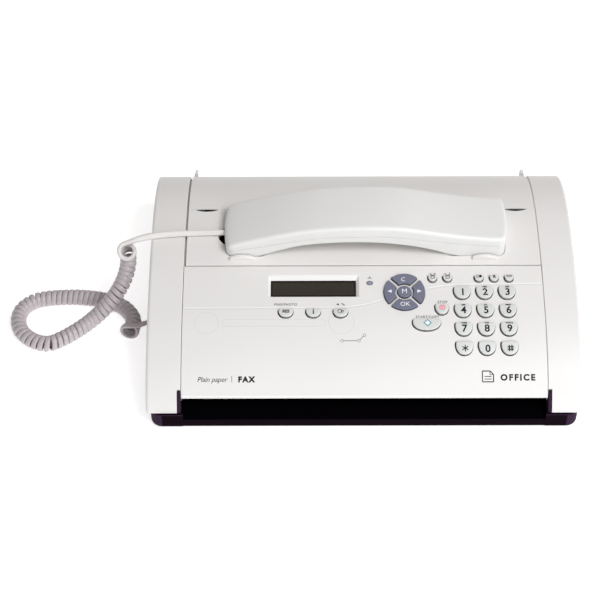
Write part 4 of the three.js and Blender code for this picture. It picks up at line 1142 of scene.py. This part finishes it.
def nav_marks():
    marks = {}
    for direction, text, x, y, height in (("up", "C", -0.8, 10.7, 3.6), ("down", "OK", 0.2, -10.9, 3.8),
                                          ("centre", "M", 0, 0.4, 4.2)):
        marks[direction] = Print(NAV_X, NAV_Y, KEY_PROUD + 0.15).letters(text, height, x, y)
    for direction, sign in (("left", -1), ("right", 1)):
        tip, foot = 13.2 * sign, 9.9 * sign
        arrow = [(tip, 0.2), (foot, 1.6), (foot, -1.2)]
        marks[direction] = Print(NAV_X, NAV_Y, KEY_PROUD + 0.1).patch(arrow)
    for direction, mark in marks.items():
        piece(mark.object(f"nav_{direction}_mark"), f"key_nav_{direction}", WHITE_INK)


def panel_labels():
    """Small words and signs above the keys, and how the paper comes out."""
    faint = Print()
    for text, x, y, height in (("FINE/PHOTO", -59.8, -45.2, 2.0), ("STOP", 61, -43.4, 2.1),
                               ("START/COPY", 49.1, -55.6, 2.0), ("A  B", 54.3, -19.1, 1.7),
                               ("A  Z", 65.7, -19.1, 1.7)):
        faint.at(x, y).letters(text, height, spacing=1.15, bold=0.06)
    faint.at(-17.2, -45.3).spot(2.0, 1.6, -2.4, 0, 16)
    faint.stroke((0.4, 1.0), (2.8, -0.9), 0.8)
    faint.at(5.3, -22.6).patch([(-0.9, 0.1), (0.9, 0.1), (0, 1.5)])
    faint.stroke((-1.9, -0.6), (1.9, -0.6), 0.35)
    faint.at(-7.5, -74).stroke((-8.2, 0), (2.6, 0), 0.45)
    faint.stroke((4.6, 0.9), (7.2, 3.6), 0.45)
    for x, y in ((-9.2, 0), (3.6, 0), (8.0, 4.4)):
        faint.ring(1.1, 0.3, x, y)
    piece(faint.object("panel_labels"), "control_panel", FAINT_INK)


def front_marks():
    """The words at both sides of the front edge, and a sheet with a folded corner."""
    ink = Print(-115.6, -100.1).letters("Plain paper", 3.9, slant=0.25, spacing=0.96)
    ink.at(0, -100.1).stroke((-100.6, -2.4), (-100.6, 2.6), 0.35)
    ink.at(-89.6, -100.1).letters("FAX", 4.2, bold=0.34, spacing=1.3)
    ink.at(116.4, -99.2).letters("OFFICE", 4.7, bold=0.3, spacing=1.34)
    ink.at(93.8, -98.8)
    page = [(-4.2, -4.0), (4.2, -4.0), (4.2, 1.6), (1.6, 4.2), (-4.2, 4.2)]
    for a, b in zip(page, page[1:] + page[:1]):
        ink.stroke(a, b, 0.75)
    for y in (-1.9, 0.1):
        ink.stroke((-2.6, y), (2.6, y), 0.6)
    ink.stroke((1.5, 4.2), (1.5, 1.5), 0.5)
    ink.stroke((1.5, 1.5), (4.2, 1.5), 0.5)
    piece(ink.object("front_marks"), "control_panel", INK)


def moulded_outlines():
    ghost = Solid()
    for x, y, radius in ((-17, -59.4, 9.9), (-120.4, -60.1, 9.0)):
        circle = [(x + u, y + v) for u, v in oval(2 * radius, 1.9 * radius, 40)]
        sweep(ghost, circle, 0.3, OUTLINE_HEIGHT, closed=True)
    sweep(ghost, rectangle(-108.4, -29, -63, -57.5, 2.4), 0.3, OUTLINE_HEIGHT, closed=True)
    piece(ghost.object("panel_outlines"), "control_panel", GHOST_INK_AND_SHADE)


key_marks()
start_and_stop_marks()
nav_marks()
front_marks()
panel_labels()
moulded_outlines()


# ---------- base
BASE_BOTTOM, BASE_TOP, BASE_HALF, BASE_CORNER = 2, 16, 163.2, 9
BASE_FRONT, BASE_REAR = -120, 117.7
EXIT_HALF, EXIT_LIP, EXIT_TOP = 138.3, 11, 20
FOOT_PLACES = {"foot_front_left": (-146, -100), "foot_front_right": (146, -100),
               "foot_rear_left": (-146, 100), "foot_rear_right": (146, 100)}
SOCKETS = {"mains": ((-126, -110), (9, 18)), "line": ((-102, -90), (8.5, 18.5))}
SHAFTS, BEARING_PLATE = ((-45, 22), (-71, 20.5), (-20, 38)), (113, 115.5)
SCREW_PLACES = ((-152, -60), (152, -60), (-152, 60), (152, 60), (-60, -60), (60, -60))
LABEL_RECESS = ((-78, 10), (-46, 2))
BOARD_POSTS = ([(x, y) for y in (10, 48) for x in (-100, -45)]
               + [(x, y) for y in (10, 100) for x in (-26, 126)])
EXIT_SHELF, HORN_X, SIDE_RIBS = ((BASE_FRONT + 1, -84.5), (8.6, 10.6)), (139.8, 142.2), (-60, -30, 30, 70)
SCREW_RECESS = [(4.2, 1), (4.2, 3.2), (1.6, 3.2), (1.6, 5)]  # (radius, height) ring by ring
SOCKET_BLOCK, SOCKET_FLOOR = ((-130, -86), (100, 114.6), (4.8, 24)), 104.9
MAINS_PINS_X, CONTACTS_X, CONTACT_PITCH = (-121, -115), -98.6, 1.9
SPEAKER_CENTRE, SPEAKER_RADIUS = (-132, 20), 16  # the slots under the loudspeaker fill this circle
FLOOR_VENT_PITCH, WALL_VENT_PITCH = 7, 12


def base_outline(inward):
    return rectangle(-BASE_HALF + inward, BASE_HALF - inward, BASE_FRONT + inward, BASE_REAR - inward,
                     BASE_CORNER - min(inward, 6), 8)


def tray_additions():
    """Rear wall, paper shelf, front horns, bearing plates, ribs under the side covers and screw posts."""
    added = Solid()
    added.box((-EXIT_HALF, EXIT_HALF), *EXIT_SHELF)
    added.box((-138.9, 138.9), (BASE_REAR - WALL, BASE_REAR), (4.1, 29.5), 0.4)
    horn = band(-117.5, -106.2, lambda y: 9, lambda y: arch(y) - 0.6, 8)
    plate = rounded([(-84, 4, 0), (-6, 4, 0), (-6, 50, 3), (-30, 48, 3), (-84, 30, 3)])
    for side in (-1, 1):
        added.bar(horn, *beside(side, *HORN_X), "x", (0.5, 0.5))
        added.bar(plate, *beside(side, *BEARING_PLATE), "x")
        for y in SIDE_RIBS:
            added.box(beside(side, 150, 152), (y, y + 2), (4, 12))
    for x, y in BOARD_POSTS:
        added.rod("z", (x, y), 3, 4, 7.7, sides=20)
    return added


def tray_openings():
    tool = Solid()
    for side in (-1, 1):
        for y, z in SHAFTS:
            tool.rod("x", (y, z), 3.5, *beside(side, BEARING_PLATE[0] - 1, BEARING_PLATE[1] + 1))
    # The paper exit, and a shallow recess in the front below it.
    tool.box((-EXIT_HALF, EXIT_HALF), (BASE_FRONT - 1, -HALF_DEPTH + 4), (EXIT_LIP, EXIT_TOP))
    tool.box((-EXIT_HALF, EXIT_HALF), (BASE_FRONT - 1, BASE_FRONT + 0.9), (0, EXIT_LIP - 0.01))
    tool.box((-HALF_WIDTH, -HALF_WIDTH + 7), *JACK_OPENING)
    for x, z in SOCKETS.values():
        tool.box(x, (BASE_REAR - WALL - 1, HALF_DEPTH + 1), z)
    for x, y in FOOT_PLACES.values():
        tool.rod("z", (x, y), 7.4, 0, 2.7)
    return tool


def base_tray():
    rim = [(base_outline(across), BASE_BOTTOM + drop) for across, drop in reversed(quarter_round(1.2, 4))]
    rim += [(base_outline(0), BASE_TOP - 0.4), (base_outline(0.4), BASE_TOP)]
    tray = Solid().rings([[(x, y, z) for x, y in loop] for loop, z in rim]).object("base_tray")
    cut(tray, Solid().bar(base_outline(WALL), BASE_BOTTOM + WALL, 2 * BASE_TOP, radii=(1.5, 0)))
    join(tray, tray_additions())
    tool = tray_openings()
    underside_openings(tool)
    cut(tray, tool)
    smooth(tray)
    mark_faces(tray, "painted_end_sheen", painted_end_sheen)
    mark_faces(tray, "painted_exit_shade", painted_exit_shade)
    piece(tray, "chassis", DARK, "base_tray")


def painted_end_sheen(face):
    """1 on the upright faces of the tray's ends, falling to 0 around the rear corners; a painted sheen
    lightens them.
    """
    if abs(face.center.x / MM) <= EXIT_HALF or abs(face.normal.z) >= 0.9:
        return 0
    return abs(face.normal.x) if face.normal.y > 0 else 1


def painted_exit_shade(face):
    """1 on the level faces between the tray's ends, which are seen through the paper exit; painted shade
    darkens them.
    """
    return abs(face.center.x / MM) < EXIT_HALF and face.normal.z > 0.9


def underside_openings(tool):
    """Vents, screw recesses, the recess for a rating label and the loudspeaker's slots."""
    for i in range(10):
        x = 40 + FLOOR_VENT_PITCH * i
        tool.box((x, x + 3), (30, 78), (1, 5))
    for x, y in SCREW_PLACES:
        tool.turned("z", (x, y), SCREW_RECESS, 24)
    tool.box(*LABEL_RECESS, (1, 2.5))
    x, middle = SPEAKER_CENTRE
    for across in steps(-15, 15, 6):
        reach, y = math.sqrt(SPEAKER_RADIUS ** 2 - across ** 2), middle + across
        tool.box((x - reach, x + reach), (y - 1, y + 1), (1, 5))
    for i in range(16):
        x = -70 + WALL_VENT_PITCH * i
        tool.box((x, x + 8), (BASE_REAR - WALL - 1, HALF_DEPTH + 1), (20.5, 22.5))


def underside_details():
    """Screw heads in their recesses, and a plain rating label with blank lines and bars."""
    heads, slots, cross_slots = Solid(), Solid(), Solid()
    for x, y in SCREW_PLACES:
        heads.rod("z", (x, y), 3.1, 2.3, 3.4, edge=0.4, sides=32)
        slots.box((x - 1.9, x + 1.9), (y - 0.35, y + 0.35), (2, 2.9))
        cross_slots.box((x - 0.35, x + 0.35), (y - 1.9, y + 1.9), (2, 2.9))
    screws = heads.object("base_screws")
    cut(screws, slots)
    cut(screws, cross_slots)
    piece(smooth(screws), "chassis", STEEL)
    (x0, x1), (y0, y1) = LABEL_RECESS
    label = Solid().box((x0 + 1, x1 - 1), (y0 + 1, y1 - 1), (2.36, 2.55), 0.05)
    piece(smooth(label.object("rating_label")), "chassis", LABEL_GREY)
    lines, level = Solid(), (2.33, 2.4)
    for i, reach in enumerate((30, 44, 38, 44, 24)):
        y = y1 - 9 - 6 * i
        lines.box((x1 - 5 - reach, x1 - 5), (y, y + 1.2), level)
    for i in range(13):
        x = x0 + 5 + 1.9 * i
        lines.box((x, x + (0.5, 1.0, 0.7)[i % 3]), (y0 + 12, y0 + 26), level)
    piece(lines.object("label_print"), "chassis", INK)


def feet():
    for name, (x, y) in FOOT_PLACES.items():
        foot = Solid().rod("z", (x, y), 7, 0, 2.4, edge=0.5, sides=40).object(name)
        grooves = Solid()
        for a in steps(-4, 4, 4):
            grooves.box((x - 5.2, x + 5.2), (y + a - 0.4, y + a + 0.4), (-0.5, 0.4))
        cut(foot, grooves)
        piece(smooth(foot), "chassis", RUBBER, name)


def sockets():
    block = Solid().box(*SOCKET_BLOCK, 0.6).object("socket_block")
    tool = Solid()
    for x, z in SOCKETS.values():
        tool.box(x, (SOCKET_FLOOR, HALF_DEPTH), z, 0.3)
    cut(block, tool)
    piece(smooth(block), "chassis", BLACK, "socket_block")
    pins = Solid()
    for x in MAINS_PINS_X:
        pins.rod("y", (x, 13.5), 1.2, 104.5, 112, edge=0.4, sides=16)
    for i in range(4):
        x = CONTACTS_X + CONTACT_PITCH * i
        pins.box((x, x + 0.8), (104.5, 111), (15.2, 15.7))
    piece(pins.object("socket_pins"), "chassis", STEEL)


def handset_jack():
    jack = Solid().box((-BASE_HALF, -150), JACK_Y, JACK_Z, 0.5).object("handset_jack")
    piece(smooth(jack), "chassis", BLACK, "handset_jack")


base_tray()
underside_details()
feet()
sockets()
handset_jack()


# ---------- inside
# These pieces keep the shape of the CAD; each gets rounded edges and a material of its own.
INNER_LOOKS = {"paper_tray": (BLACK, 0.3), "key_board": (BOARD_BROWN, 0.1), "lcd_module": (STEEL, 0.3),
               "platen_roller": (RUBBER, 0.2), "feed_roller": (RUBBER, 0.2), "film_roll": (FILM_BLACK, 0.3),
               "motor_gear": (BRASS, 0.1), "drive_motor": (STEEL, 0.5), "print_head": (STEEL, 0.3),
               "scan_bar": (BLACK, 0.5), "main_board": (BOARD_GREEN, 0.2),
               "power_board": (BOARD_BROWN, 0.3), "loudspeaker": (BLACK, 0.4)}


def inner_pieces():
    for name, (material, bevel) in INNER_LOOKS.items():
        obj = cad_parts[name]
        obj.data.materials.clear()
        obj.data.materials.append(material)
        m = obj.modifiers.new("edges", "BEVEL")
        m.width, m.segments, m.limit_method, m.angle_limit = bevel * MM, 2, "ANGLE", math.radians(40)


inner_pieces()
